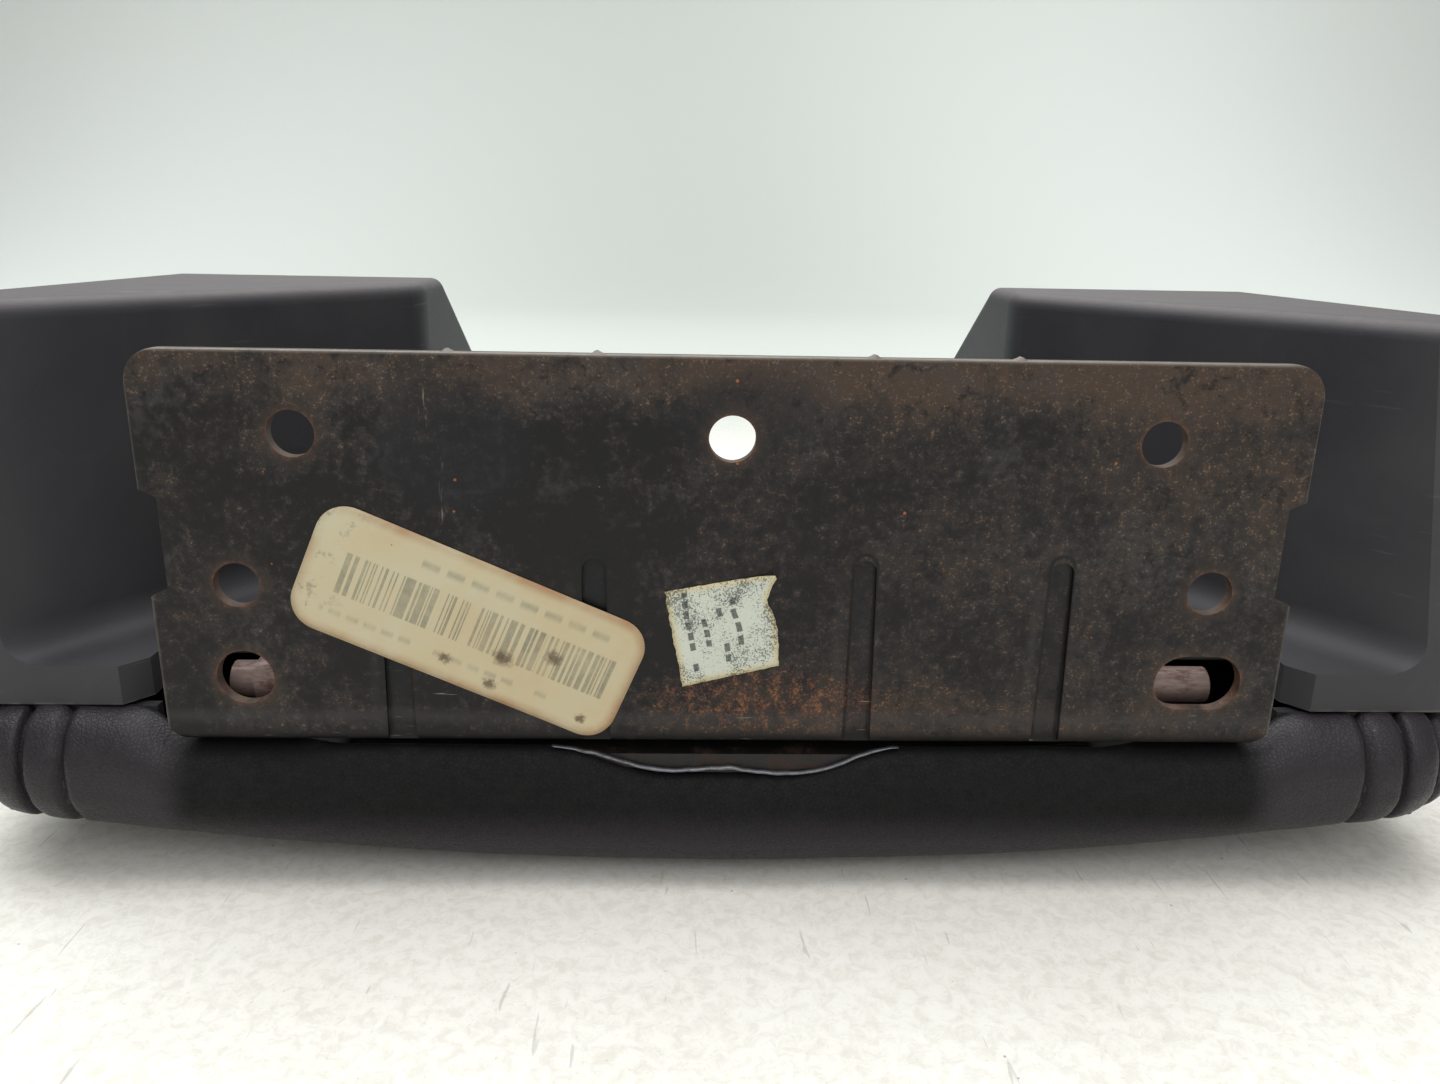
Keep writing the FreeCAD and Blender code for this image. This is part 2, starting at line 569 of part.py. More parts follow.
def screw(x, y, z, length):
    """One pan-head screw, its head resting at height z, with a cross recess."""
    head = Part.makeCylinder(size("screw_head"), size("screw_height"), Vector(x, y, z))
    head = head.makeFillet(1.2, [edge for edge in head.Edges if middle(edge).z > z + 1])
    shank = Part.makeCylinder(size("screw_shank"), length, Vector(x, y, z - length))
    deep = z + size("screw_height") - 1.5
    cross = [block(x - a, y - b, deep, x + a, y + b, z + 9) for a, b in ((2.2, 0.45), (0.45, 2.2))]
    return head.fuse(shank).cut(cross)


def make_screws():
    """The screws of the moulding and those of the hinge leaf."""
    long, short = size("screw_length"), size("leaf_screw")
    shaped("moulding_screws", Part.makeCompound([screw(*place, long) for place in screw_places()]))
    top = size("leaf_top")
    shaped("leaf_screws", Part.makeCompound([screw(x, y, top, short) for x, y in leaf_places()]))


# ---------------------------------------------------------------- latch and stops

def make_latch():
    """The front latch: bezel, push button, hooked bar, its guide and its return spring."""
    half, rear, front = size("bezel_half"), size("bezel_rear"), size("bezel_front")
    low, top = size("bezel_bottom"), size("bezel_top")
    body = new_body("latch_bezel")
    outer = new_sketch(body, "XZ_Plane", "bezel_face", rectangle(-half, low, half, top), "0 - bezel_front")
    grow(body, "Pad", outer, "bezel_pad", "bezel_front - bezel_rear")
    reach, base, high, slack = size("button_half"), size("button_bottom"), size("button_top"), 0.3
    window = new_sketch(body, "XZ_Plane", "bezel_window",
                        rectangle(-reach - slack, base - slack, reach + slack, high + slack), "0 - bezel_front")
    grow(body, "Pocket", window, "bezel_cut", "bezel_front - bezel_rear", Reversed=True)
    dress(body, "Fillet", "bezel_corners", "2", lambda e: e.BoundBox.YLength > 5 and abs(middle(e).x) > half - 1)
    deep = size("bezel_rear") + 5
    button = block(-reach, deep, base, reach, size("button_front"), high)
    button = rounded(button, 1.5, lambda e: e.BoundBox.YMin > size("button_front") - 0.01)
    shaped("latch_button", button)
    bar_low, bar_high, width = size("bar_bottom") + 0.3, size("bar_top"), size("bar_half")
    hook_rear, hook_top = size("bar_rear"), size("hook_top")
    side = [(deep, base + 1), (deep, high), (rear - 0.8, high), (rear - 3, bar_high), (hook_rear + 4, bar_high),
            (hook_rear + 4, hook_top - 3), (hook_rear + 8, hook_top - 3), (hook_rear + 3, hook_top),
            (hook_rear, hook_top), (hook_rear, bar_low), (deep - 8, bar_low), (deep - 3, base + 1)]
    wire = Part.makePolygon([Vector(-width, y, z) for y, z in side + side[:1]])
    shaped("latch_hook", Part.Face(wire).extrude(Vector(2 * width, 0, 0)))
    floor, gap = size("trough_top"), width + 0.4
    outer = block(-gap - 7, 214, floor, gap + 7, 230, bar_high + 2.6)
    inner = block(-gap, 200, floor - 1, gap, 240, bar_high + 0.6)
    step = [block(s * (gap + 4) - 3.1, 200, floor + 2, s * (gap + 4) + 3.1, 240, 60) for s in (-1, 1)]
    shaped("latch_guide", outer.cut([inner] + step))
    pitch, radius, wire = 2.2, 1.6, 0.35
    notch = size("bezel_rear") - size("latch_notch")
    coil = Part.makeHelix(pitch, deep - notch - 2 * wire, radius)
    section = Part.Wire(Part.makeCircle(wire, Vector(radius, 0, 0), Vector(0, 1, 0)))
    spring = Part.Wire(coil.Edges).makePipeShell([section], True, True)
    spring.rotate(Vector(), Vector(1, 0, 0), 90)
    spring.translate(Vector(13, deep - wire, size("trough_top") - 1.4))
    shaped("latch_spring", spring)


def make_stops():
    """Two rubber stops on the front of the ledge."""
    stops = []
    for side in (-1, 1):
        foot = Vector(side * size("stop_x"), size("ledge_boss_y"), size("ledge_top"))
        stops.append(Part.makeCone(size("stop_radius"), size("stop_radius") - 1.5, size("stop_height"), foot))
    shaped("rubber_stops", Part.makeCompound(stops))


# ---------------------------------------------------------------- checks and output

def check_document():
    """Stop if any object failed, a pocket removed nothing, or any sub-part has no valid shape."""
    DOC.recompute()
    for thing in DOC.Objects:
        if {"Invalid", "Error"} & set(thing.State):
            raise RuntimeError(f"{thing.Name} failed: {thing.State}")
        if thing.isDerivedFrom("PartDesign::Pocket") and thing.Shape.Volume > thing.BaseFeature.Shape.Volume - 1:
            raise RuntimeError(f"{thing.Name} removed nothing")
    for thing in NODES:
        if thing.Shape.isNull() or not thing.Shape.isValid() or thing.Shape.Volume <= 0:
            raise RuntimeError(f"{thing.Label} has no valid shape")


def write_parts():
    """Write each sub-part to its own file."""
    os.makedirs("parts", exist_ok=True)
    for thing in NODES:
        thing.Shape.exportStep(f"parts/{thing.Label}.step")
        box = thing.Shape.BoundBox
        print(f"{thing.Label:24s} {len(thing.Shape.Solids)} solid(s) {thing.Shape.Volume / 1000:8.2f} cm3 "
              f"X {box.XMin:.1f} {box.XMax:.1f} Y {box.YMin:.1f} {box.YMax:.1f} Z {box.ZMin:.1f} {box.ZMax:.1f}")


fill_sheet()
make_cover_and_foam()
make_tray()
make_moulding()
make_plate()
make_paper()
make_leaf()
make_pin_and_bushes()
make_springs()
make_screws()
make_latch()
make_stops()
check_document()
write_parts()
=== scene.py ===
"""A padded console armrest lid lying upside down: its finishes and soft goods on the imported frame."""

import logging
import math
from dataclasses import dataclass, field
from enum import Enum
from typing import Any, Callable, Sequence

import bmesh
import bpy
import numpy as np
from mathutils import Matrix, Vector, kdtree, noise


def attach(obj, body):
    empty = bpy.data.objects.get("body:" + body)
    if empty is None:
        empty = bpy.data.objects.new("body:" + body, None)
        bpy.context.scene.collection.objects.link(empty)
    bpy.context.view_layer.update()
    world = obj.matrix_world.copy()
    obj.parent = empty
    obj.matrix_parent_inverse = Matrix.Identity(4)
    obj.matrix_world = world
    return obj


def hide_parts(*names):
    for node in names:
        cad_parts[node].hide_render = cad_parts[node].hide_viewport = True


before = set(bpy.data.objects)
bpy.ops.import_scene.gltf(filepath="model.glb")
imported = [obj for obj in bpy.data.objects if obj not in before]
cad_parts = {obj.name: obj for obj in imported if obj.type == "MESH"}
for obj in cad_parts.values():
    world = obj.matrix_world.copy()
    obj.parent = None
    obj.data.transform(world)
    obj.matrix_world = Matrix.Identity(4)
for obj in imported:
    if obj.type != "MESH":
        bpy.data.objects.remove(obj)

LOG = logging.getLogger("armrest_lid")
MM = 0.001
Colour = tuple[float, float, float]


def shade(red: float, green: float, blue: float) -> Colour:
    """A linear colour from its screen values.

    Args:
        red: from 0 to 255, like the other two.
        green: the green value.
        blue: the blue value.

    Returns:
        The three linear values, from 0 to 1.
    """
    def linear(value: float) -> float:
        """One channel's linear value."""
        part = value / 255
        return part / 12.92 if part <= 0.04045 else ((part + 0.055) / 1.055) ** 2.4
    return linear(red), linear(green), linear(blue)


# ---------------------------------------------------------------- shader writing

class Term:
    """One socket's value in an expression. Python operators on it add Math nodes."""

    def __init__(self, graph: "Graph", socket: bpy.types.NodeSocket | None) -> None:
        """Hold the socket and the graph that it belongs to."""
        self.graph = graph
        self.socket = socket

    def math(self, operation: str, *values: Any, clamp: bool = False) -> "Term":
        """One Math node.

        Args:
            operation: the node's operation.
            values: its inputs in order, terms or numbers.
            clamp: whether the result is kept from 0 to 1.

        Returns:
            The node's result.
        """
        settings = {"operation": operation, "use_clamp": clamp}
        return self.graph.node("ShaderNodeMath", settings, dict(enumerate(values)))

    def __add__(self, other: Any) -> "Term":
        """self + other."""
        return self.math("ADD", self, other)

    def __radd__(self, other: Any) -> "Term":
        """other + self."""
        return self.math("ADD", other, self)

    def __sub__(self, other: Any) -> "Term":
        """self - other."""
        return self.math("SUBTRACT", self, other)

    def __rsub__(self, other: Any) -> "Term":
        """other - self."""
        return self.math("SUBTRACT", other, self)

    def __mul__(self, other: Any) -> "Term":
        """self * other."""
        return self.math("MULTIPLY", self, other)

    def __rmul__(self, other: Any) -> "Term":
        """other * self."""
        return self.math("MULTIPLY", other, self)

    def __truediv__(self, other: Any) -> "Term":
        """self / other."""
        return self.math("DIVIDE", self, other)

    def __rtruediv__(self, other: Any) -> "Term":
        """other / self."""
        return self.math("DIVIDE", other, self)

    def __pow__(self, other: Any) -> "Term":
        """self to the power of other."""
        return self.math("POWER", self, other)

    def __neg__(self) -> "Term":
        """The negative of self."""
        return self.math("MULTIPLY", self, -1.0)

    def __abs__(self) -> "Term":
        """The size of self without its sign."""
        return self.math("ABSOLUTE", self)

    def highest(self, other: Any) -> "Term":
        """The larger of the two."""
        return self.math("MAXIMUM", self, other)

    def lowest(self, other: Any) -> "Term":
        """The smaller of the two."""
        return self.math("MINIMUM", self, other)

    def clamped(self) -> "Term":
        """Self kept from 0 to 1."""
        return self.math("ADD", self, 0.0, clamp=True)

    def floor(self) -> "Term":
        """Self rounded down."""
        return self.math("FLOOR", self)

    def rise(self, low: float, high: float) -> "Term":
        """A smooth step: 0 where self is low, 1 where it is high, for either order of the two."""
        return self.graph.node("ShaderNodeMapRange", {"interpolation_type": "SMOOTHSTEP"},
                               {"Value": self, "From Min": low, "From Max": high})

    def near(self, centre: float, width: float) -> "Term":
        """1 where self is centre, fading to 0 at width from it."""
        return abs(self - centre).rise(width, 0.0)

    def from_half(self) -> "Term":
        """How far self is from halfway between two whole numbers, 0 to 0.5."""
        return abs(self.math("FRACT", self) - 0.5)


class Graph:
    """One material's node tree, with the few calls that the finishes are written in."""

    def __init__(self, name: str) -> None:
        """Start an empty material.

        Args:
            name: the material's name.
        """
        self.material = bpy.data.materials.new(name)
        self.material.use_nodes = True
        self.tree = self.material.node_tree
        self.tree.nodes.clear()
        self.place = self.node("ShaderNodeTexCoord", output="Object")
        self.millimetres = self.vector("MULTIPLY", self.place, (1000.0,) * 3)

    def node(self, kind: str, settings: dict | None = None, inputs: dict | None = None,
             output: int | str = 0) -> Term:
        """Any node: its settings first, then what its sockets hold or are linked to.

        Args:
            kind: the node's type.
            settings: its properties.
            inputs: socket name or number to a term, a number, a vector or a colour.
            output: the name or number of the wanted output.

        Returns:
            The wanted output, or an empty term for a node that has none.
        """
        made = self.tree.nodes.new(kind)
        for key, value in (settings or {}).items():
            setattr(made, key, value)
        for key, value in (inputs or {}).items():
            socket = made.inputs[key]
            if isinstance(value, Term):
                self.tree.links.new(value.socket, socket)
            else:
                rgba = socket.type == "RGBA" and len(value) == 3
                socket.default_value = (*value, 1.0) if rgba else value
        return Term(self, made.outputs[output] if len(made.outputs) else None)

    def vector(self, operation: str, first: Any, second: Any) -> Term:
        """One Vector Math node."""
        return self.node("ShaderNodeVectorMath", {"operation": operation}, {0: first, 1: second})

    def axes(self) -> tuple[Term, Term, Term]:
        """The place on the piece.

        Returns:
            Its X, Y and Z in millimetres.
        """
        parts = [self.node("ShaderNodeSeparateXYZ", inputs={0: self.millimetres}, output=axis)
                 for axis in "XYZ"]
        return parts[0], parts[1], parts[2]

    def uv(self) -> tuple[Term, Term]:
        """The piece's own map.

        Returns:
            The places along U and V, from 0 to 1.
        """
        spot = self.node("ShaderNodeTexCoord", output="UV")
        first = self.node("ShaderNodeSeparateXYZ", inputs={0: spot}, output="X")
        return first, self.node("ShaderNodeSeparateXYZ", inputs={0: spot}, output="Y")

    def held(self, name: str) -> Term:
        """A number stored on the mesh."""
        return self.node("ShaderNodeAttribute", {"attribute_name": name}, output="Fac")

    def clouds(self, size: float, detail: float = 3.0, rough: float = 0.55, warp: float = 0.0,
               stretch: Sequence[float] = (1, 1, 1), seat: Sequence[float] = (0, 0, 0)) -> Term:
        """Noise whose blotches are about size millimetres across.

        Args:
            size: the blotches' size.
            detail: octaves.
            rough: how much the finer octaves show.
            warp: distortion.
            stretch: how many times longer a blotch is along each axis.
            seat: an offset in millimetres, so that two noises differ.

        Returns:
            Values about 0.5, mostly from 0.3 to 0.7.
        """
        scaled = self.vector("DIVIDE", self.millimetres, tuple(size * part for part in stretch))
        moved = self.vector("ADD", scaled, tuple(seat))
        return self.node("ShaderNodeTexNoise", {}, {"Vector": moved, "Scale": 1.0, "Detail": detail,
                                                   "Roughness": rough, "Distortion": warp})

    def cells(self, size: float, feature: str = "F1", output: str = "Distance",
              seat: Sequence[float] = (0, 0, 0)) -> Term:
        """Voronoi cells.

        Args:
            size: about how far a cell reaches across, in millimetres.
            feature: what the node measures.
            output: which of its outputs is wanted.
            seat: an offset, so that two sets differ.

        Returns:
            The wanted output.
        """
        scaled = self.vector("DIVIDE", self.millimetres, (size,) * 3)
        moved = self.vector("ADD", scaled, tuple(seat))
        return self.node("ShaderNodeTexVoronoi", {"feature": feature}, {"Vector": moved, "Scale": 1.0},
                         output=output)

    def specks(self, spacing: float, radius: float, share: float,
               seat: Sequence[float] = (0, 0, 0)) -> Term:
        """Sparse round specks: 1 on a speck, 0 elsewhere.

        Args:
            spacing: millimetres between the places where a speck may be.
            radius: a speck's radius in millimetres.
            share: the share of those places that have one.
            seat: an offset, so that two sets differ.

        Returns:
            The mask.
        """
        near = self.cells(spacing, seat=seat).rise(radius / spacing, radius / spacing * 0.5)
        lot = self.node("ShaderNodeSeparateColor", inputs={0: self.cells(spacing, output="Color", seat=seat)})
        return near * lot.math("LESS_THAN", lot, share)

    def lot(self, place: Term, seed: float) -> Term:
        """A random number from 0 to 1 for each whole number of place."""
        return self.node("ShaderNodeTexWhiteNoise", {"noise_dimensions": "1D"}, {"W": place.floor() + seed})

    def mix(self, factor: Any, first: Any, second: Any) -> Term:
        """A colour from first, at factor 0, to second, at 1."""
        return self.node("ShaderNodeMix", {"data_type": "RGBA"}, {0: factor, 6: first, 7: second}, output=2)

    def bump(self, height: Term, rise: float, strength: float = 1.0, under: Term | None = None) -> Term:
        """A normal bent by a height.

        Args:
            height: the height, from 0 to 1.
            rise: how many millimetres its full step stands for.
            strength: how much of the bend shows.
            under: the normal that is bent, if not the surface's own.

        Returns:
            The normal.
        """
        inputs = {"Height": height, "Distance": rise * MM, "Strength": strength}
        if under:
            inputs["Normal"] = under
        return self.node("ShaderNodeBump", {}, inputs)

    def surface(self, **inputs: Any) -> bpy.types.Material:
        """Finish the material with one Principled shader.

        Args:
            inputs: what its sockets hold, their names written with _ for a space.

        Returns:
            The material.
        """
        named = {key.replace("_", " "): value for key, value in inputs.items()}
        shader = self.node("ShaderNodeBsdfPrincipled", {}, named)
        self.node("ShaderNodeOutputMaterial", {}, {"Surface": shader})
        return self.material


# ---------------------------------------------------------------- finishes

@dataclass(frozen=True)
class Leather:
    """Grained aubergine-black leather with a little lint, painted shade in its seam valleys and a painted
    shadow of the bracket on the rear roll.
    """

    name: str = "leather_aubergine"
    deep: Colour = shade(27, 24, 28)
    worn: Colour = shade(46, 41, 47)
    lint: Colour = shade(150, 145, 140)
    # dark colour of the grain's pores, also used for painted shade in the seam valleys
    seam: Colour = shade(9, 8, 10)
    # near-black painted shadow of the bracket on the rear roll
    painted_shadow: Colour = shade(2, 2, 3)
    grain: float = 0.85

    def make(self) -> bpy.types.Material:
        """Build the material.

        Returns:
            The material, which reads the mesh's seam attribute.
        """
        g = Graph(self.name)
        x, y, z = g.axes()
        # Painted shadow of the bracket: the rear roll's upper part under it, darkened to near black and made
        # rougher.
        plate_shadow = y.rise(-116.0, -122.0) * z.rise(9.5, 19.0) * abs(x).rise(114.0, 106.0)
        broad = g.clouds(38, 3, warp=0.4)
        fine = g.clouds(2.4, 2, seat=(7, 3, 1))
        pebbles = g.cells(self.grain, "DISTANCE_TO_EDGE")
        creases = g.cells(3.1, "DISTANCE_TO_EDGE", seat=(3, 9, 2))
        pores = pebbles.rise(0.0, 0.22)
        valley = g.held("seam")
        tone = g.mix((broad * 0.75 + fine * 0.35 - 0.05).clamped(), self.deep, self.worn)
        tone = g.mix((1 - pores) * 0.35, tone, self.seam)
        # Painted shade: the seam valleys darkened almost to the seam colour.
        tone = g.mix(valley.rise(0.12, 0.95) * 0.92, tone, self.seam)
        tone = g.mix(plate_shadow * 0.95, tone, self.painted_shadow)
        dust = g.specks(5.5, 0.16, 0.22) * g.clouds(24, 1, seat=(2, 2, 8)).rise(0.42, 0.62)
        tone = g.mix(dust * 0.8, tone, self.lint)
        rough = 0.37 + (fine - 0.5) * 0.25 + (1 - pores) * 0.12 + valley * 0.2 + plate_shadow * 0.35
        skin = g.bump(creases.rise(0.0, 0.3), 0.05, 0.55)
        skin = g.bump(pores + fine * 0.6, 0.055, 0.75, skin)
        return g.surface(Base_Color=tone, Roughness=rough, Normal=skin, Specular_IOR_Level=0.27,
                         Sheen_Weight=0.02, Sheen_Roughness=0.4)


@dataclass(frozen=True)
class Moulding:
    """Charcoal injection-moulded plastic: fine spark grain, scuffs, dust on what faces up."""

    name: str = "moulded_charcoal"
    base: Colour = shade(50, 50, 54)
    haze: Colour = shade(70, 69, 71)
    dust: Colour = shade(92, 84, 86)
    burr: Colour = shade(96, 90, 84)
    rough: float = 0.52
    dusty_from: float = 113.0
    burr_below: float = 37.9

    def make(self) -> bpy.types.Material:
        """Build the material.

        Returns:
            The material.
        """
        g = Graph(self.name)
        _, y, z = g.axes()
        broad = g.clouds(55, 3, warp=0.6)
        grain = g.clouds(0.42, 2, 0.7)
        pits = g.cells(0.62)
        streaks = g.clouds(3.2, 3, 0.6, stretch=(9, 1, 1), seat=(4, 1, 0))
        tone = g.mix((broad * 1.5 - 0.45).clamped(), self.base, self.haze)
        tone = g.mix(g.clouds(9, 4, 0.7, 1.0).rise(0.52, 0.74) * 0.22, tone, self.haze)
        rim = z.rise(self.dusty_from, self.dusty_from + 2.2) * (0.45 + streaks * 0.7)
        tone = g.mix(rim.clamped() * 0.62, tone, self.dust)
        lint = g.specks(7.0, 0.2, 0.2, (5, 2, 9))
        tone = g.mix(lint * 0.7, tone, self.dust)
        scuffs = g.clouds(1.1, 2, 0.5, stretch=(14, 14, 1), seat=(1, 8, 3)).rise(0.67, 0.75)
        scuffs = scuffs * g.clouds(30, 1, seat=(9, 9, 1)).rise(0.5, 0.62)
        tone = g.mix(scuffs * 0.35, tone, self.dust)
        burr = z.rise(self.burr_below, self.burr_below - 0.5) * y.rise(-112.0, -119.0)
        tone = g.mix(burr * g.clouds(4, 2, seat=(8, 1, 1)).rise(0.4, 0.62) * 0.7, tone, self.burr)
        rough = self.rough + (broad - 0.5) * 0.22 + (grain - 0.5) * 0.2 - scuffs * 0.1
        skin = g.bump(grain * 0.8 + pits * 0.5, 0.045, 0.6)
        return g.surface(Base_Color=tone, Roughness=rough, Normal=skin, Specular_IOR_Level=0.22)


@dataclass(frozen=True)
class RustedCoat:
    """Thin black coat on pressed steel: brown rust bloom, orange pits, rubbed edges and scratches; painted
    shade in and round the darts and along the lower bend, and a painted highlight beside each dart.

    Places are millimetres on the bracket's face, (X, Z).
    """

    name: str = "bracket_coat"
    coat: Colour = shade(13, 12, 14)
    grey: Colour = shade(56, 55, 56)
    brown: Colour = shade(64, 52, 44)
    umber: Colour = shade(37, 33, 32)
    orange: Colour = shade(148, 88, 48)
    bloom: Colour = shade(112, 92, 74)
    blue: Colour = shade(20, 21, 27)
    bare: Colour = shade(130, 124, 118)
    pale: Colour = shade(150, 142, 128)
    # near-black painted shade for the darts' outlines and the lower bend
    painted_shade: Colour = shade(6, 6, 8)
    top: float = 109.0
    holes: tuple[tuple[float, float, float], ...] = (
        (-81, 93.8, 4.4), (0, 93.8, 4.4), (81, 93.8, 4.4), (-93.7, 64.5, 4.4), (93.7, 64.5, 4.4),
        (-93.9, 45.6, 5.5), (90.8, 45.6, 5.7), (96.8, 45.6, 5.7))
    darts: tuple[float, ...] = (-64.3, -26.0, 26.0, 64.3)

    def rings(self, g: Graph, x: Term, z: Term, reach: float) -> Term:
        """A mask round every hole.

        Args:
            g: the material's tree.
            x: the place along X.
            z: the place along Z.
            reach: how many millimetres from a hole's edge the mask ends.

        Returns:
            1 at the holes' edges, fading to 0.
        """
        whole: Term | None = None
        for across, up, radius in self.holes:
            gap = ((x - across) ** 2.0 + (z - up) ** 2.0) ** 0.5
            ring = gap.rise(radius + reach, radius - 0.3)
            whole = ring if whole is None else whole.highest(ring)
        return whole

    def make(self) -> bpy.types.Material:
        """Build the material.

        Returns:
            The material.
        """
        g = Graph(self.name)
        x, y, z = g.axes()
        wide = g.clouds(34, 4, 0.6, 0.8)
        mid = g.clouds(9, 4, 0.65, 0.5, seat=(5, 1, 2))
        fine = g.clouds(2.1, 4, 0.7, seat=(1, 6, 4))
        sand = g.clouds(0.55, 2, 0.7, seat=(2, 3, 9))
        rusty = x.rise(-40.0, 55.0) * 0.09 + z.rise(94.0, 106.0) * 0.17 + z.rise(52.0, 36.0) * 0.06
        amount = wide * 0.42 + mid * 0.34 + fine * 0.30 + rusty
        tone = g.mix(amount.rise(0.50, 0.64), self.coat, self.umber)
        tone = g.mix(amount.rise(0.60, 0.80), tone, self.brown)
        worn = (g.clouds(15, 4, 0.7, 0.6, seat=(9, 2, 7)) * 0.6 + fine * 0.4).rise(0.50, 0.66)
        tone = g.mix(worn * 0.5, tone, self.grey)
        flecks = (sand * 0.6 + fine * 0.4).rise(0.53, 0.66) * amount.rise(0.50, 0.70)
        tone = g.mix(flecks * 0.8, tone, self.bloom)
        dark = g.clouds(4.4, 5, 0.8, 0.4, seat=(3, 3, 3)).rise(0.52, 0.66)
        tone = g.mix(dark * 0.78, tone, self.coat)
        patch = (((x - 4) / 17) ** 2.0 + ((z - 98) / 9) ** 2.0).rise(1.3, 0.2)
        patch = patch.highest((((x + 52) / 16) ** 2.0 + ((z - 92) / 14) ** 2.0).rise(1.2, 0.3))
        tone = g.mix((patch * (mid + 0.25)).clamped() * 0.75, tone, self.blue)
        ring = self.rings(g, x, z, 3.4) * (mid * 0.9 + fine * 0.9 - 0.2).clamped()
        tone = g.mix(ring * 0.5, tone, self.brown)
        wall = self.rings(g, x, z, 0.1)
        tone = g.mix(wall * (mid * 0.8 + 0.1), tone, self.bare)
        tight = self.rings(g, x, z, 0.9) - wall
        tone = g.mix((tight * (fine * 2.2 - 0.8)).clamped() * 0.45, tone, self.orange)
        for across in self.darts:
            # Painted shade in each dart's groove, a painted dark outline round its rounded top, and a painted
            # highlight on the strip to its left.
            groove_shade = x.near(across, 3.6) * z.rise(71.5, 69.0)
            tone = g.mix(groove_shade * (0.35 + fine * 0.6) * 0.75, tone, self.blue)
            end = (z - 69.4).highest(0.0)
            outline_shade = (((x - across) ** 2.0 + end ** 2.0) ** 0.5).near(2.3, 0.75) * z.rise(72.6, 71.8)
            tone = g.mix(outline_shade * 0.85, tone, self.painted_shade)
            ridge_highlight = x.near(across - 4.6, 1.6) * z.rise(70.0, 60.0)
            tone = g.mix(ridge_highlight * fine * 0.4, tone, self.grey)
        grain = (fine * 0.6 + sand * 0.5).rise(0.52, 0.66)
        crust = (((x - 8) / 26) ** 2.0 + ((z - 41) / 7) ** 2.0).rise(1.3, 0.2) * grain
        tone = g.mix(crust * (0.15 + mid * 0.4), tone, self.orange)
        # Painted shade: the lower bend darkened almost to black, with a lighter grey band just above it.
        bend = z.rise(35.6, 33.2)
        tone = g.mix(z.near(37.4, 2.4) * (0.2 + mid * 0.4), tone, self.grey)
        tone = g.mix(bend * 0.85, tone, self.painted_shade)
        pits = g.specks(6.5, 0.42, 0.16).highest(g.specks(3.1, 0.22, 0.10, (4, 4, 1)))
        tone = g.mix(pits * 0.85, tone, self.orange)
        chips = g.specks(9.0, 0.32, 0.16, (7, 1, 5)).highest(g.specks(4.3, 0.14, 0.12, (1, 5, 2)))
        tone = g.mix(chips * 0.7, tone, self.pale)
        lines = g.clouds(1.3, 3, 0.7, 0.3, stretch=(1, 1, 9), seat=(6, 1, 1)).rise(0.60, 0.72)
        lines = lines * (x + z * 0.16).near(-40.0, 4.5) * z.rise(70.0, 78.0)
        tone = g.mix(lines * 0.6, tone, self.pale)
        low = g.clouds(1.0, 2, 0.6, stretch=(12, 1, 1), seat=(2, 9, 9)).rise(0.68, 0.74) * z.rise(50.0, 42.0)
        tone = g.mix(low * 0.5, tone, self.pale)
        edge = z.rise(self.top - 0.75, self.top - 0.1).highest(abs(x).rise(109.4, 109.95) * 0.4)
        back = y.rise(-123.9, -125.4)
        tone = g.mix(edge * (0.3 + mid) * 0.7 * back, tone, self.bare)
        rough = 0.50 + (amount - 0.5) * 0.5 + flecks * 0.2 - edge * 0.15 + (sand - 0.5) * 0.15
        metal = (edge * 0.5 + 0.12 - flecks * 0.1).clamped()
        skin = g.bump(mid * 0.6 + amount * 0.4, 0.22, 0.35)
        skin = g.bump(sand * 0.6 + fine * 0.8 - pits * 0.8 + chips * 0.3, 0.10, 0.7, skin)
        return g.surface(Base_Color=tone, Roughness=rough, Metallic=metal, Normal=skin,
                         Specular_IOR_Level=0.3)


@dataclass(frozen=True)
class RustySteel:
    """Uncoated or thinly plated steel with rust creeping over it."""

    name: str
    clean: Colour
    rust: Colour = shade(92, 58, 38)
    amount: float = 0.5
    rough: float = 0.38
    metal: float = 0.85
    size: float = 6.0
    drawn: tuple[float, float, float] = (1, 1, 1)

    def make(self) -> bpy.types.Material:
        """Build the material.

        Returns:
            The material.
        """
        g = Graph(self.name)
        blotch = g.clouds(self.size, 4, 0.65, 0.6)
        fine = g.clouds(0.7, 3, 0.7, stretch=self.drawn, seat=(3, 1, 7))
        rust = (blotch * 0.75 + fine * 0.35).rise(0.78 - self.amount * 0.5, 0.98 - self.amount * 0.5)
        tone = g.mix(fine.rise(0.3, 0.75) * 0.5, self.clean, tuple(part * 0.45 for part in self.clean))
        tone = g.mix(rust, tone, self.rust)
        metal = (1 - rust) * self.metal
        rough = self.rough + rust * 0.35 + (fine - 0.5) * 0.25
        return g.surface(Base_Color=tone, Roughness=rough, Metallic=metal,
                         Normal=g.bump(fine + rust * 0.6, 0.06, 0.6))


@dataclass(frozen=True)
class PlainMoulded:
    """A small moulded or rubber part: one colour with mould grain, handling marks and dust."""

    name: str
    base: Colour
    mark: Colour = shade(96, 92, 90)
    rough: float = 0.45
    grain: float = 0.5
    marked: float = 0.25

    def make(self) -> bpy.types.Material:
        """Build the material.

        Returns:
            The material.
        """
        g = Graph(self.name)
        broad = g.clouds(13, 3, warp=0.4)
        grain = g.clouds(self.grain, 2, 0.6)
        rubbed = (broad * 0.7 + grain * 0.3).rise(0.52, 0.72) * self.marked
        tone = g.mix(rubbed, self.base, self.mark)
        tone = g.mix(g.specks(3.8, 0.13, 0.2) * 0.6, tone, self.mark)
        return g.surface(Base_Color=tone, Roughness=self.rough + (grain - 0.5) * 0.3 + rubbed * 0.2,
                         Normal=g.bump(grain, 0.04, 0.6))


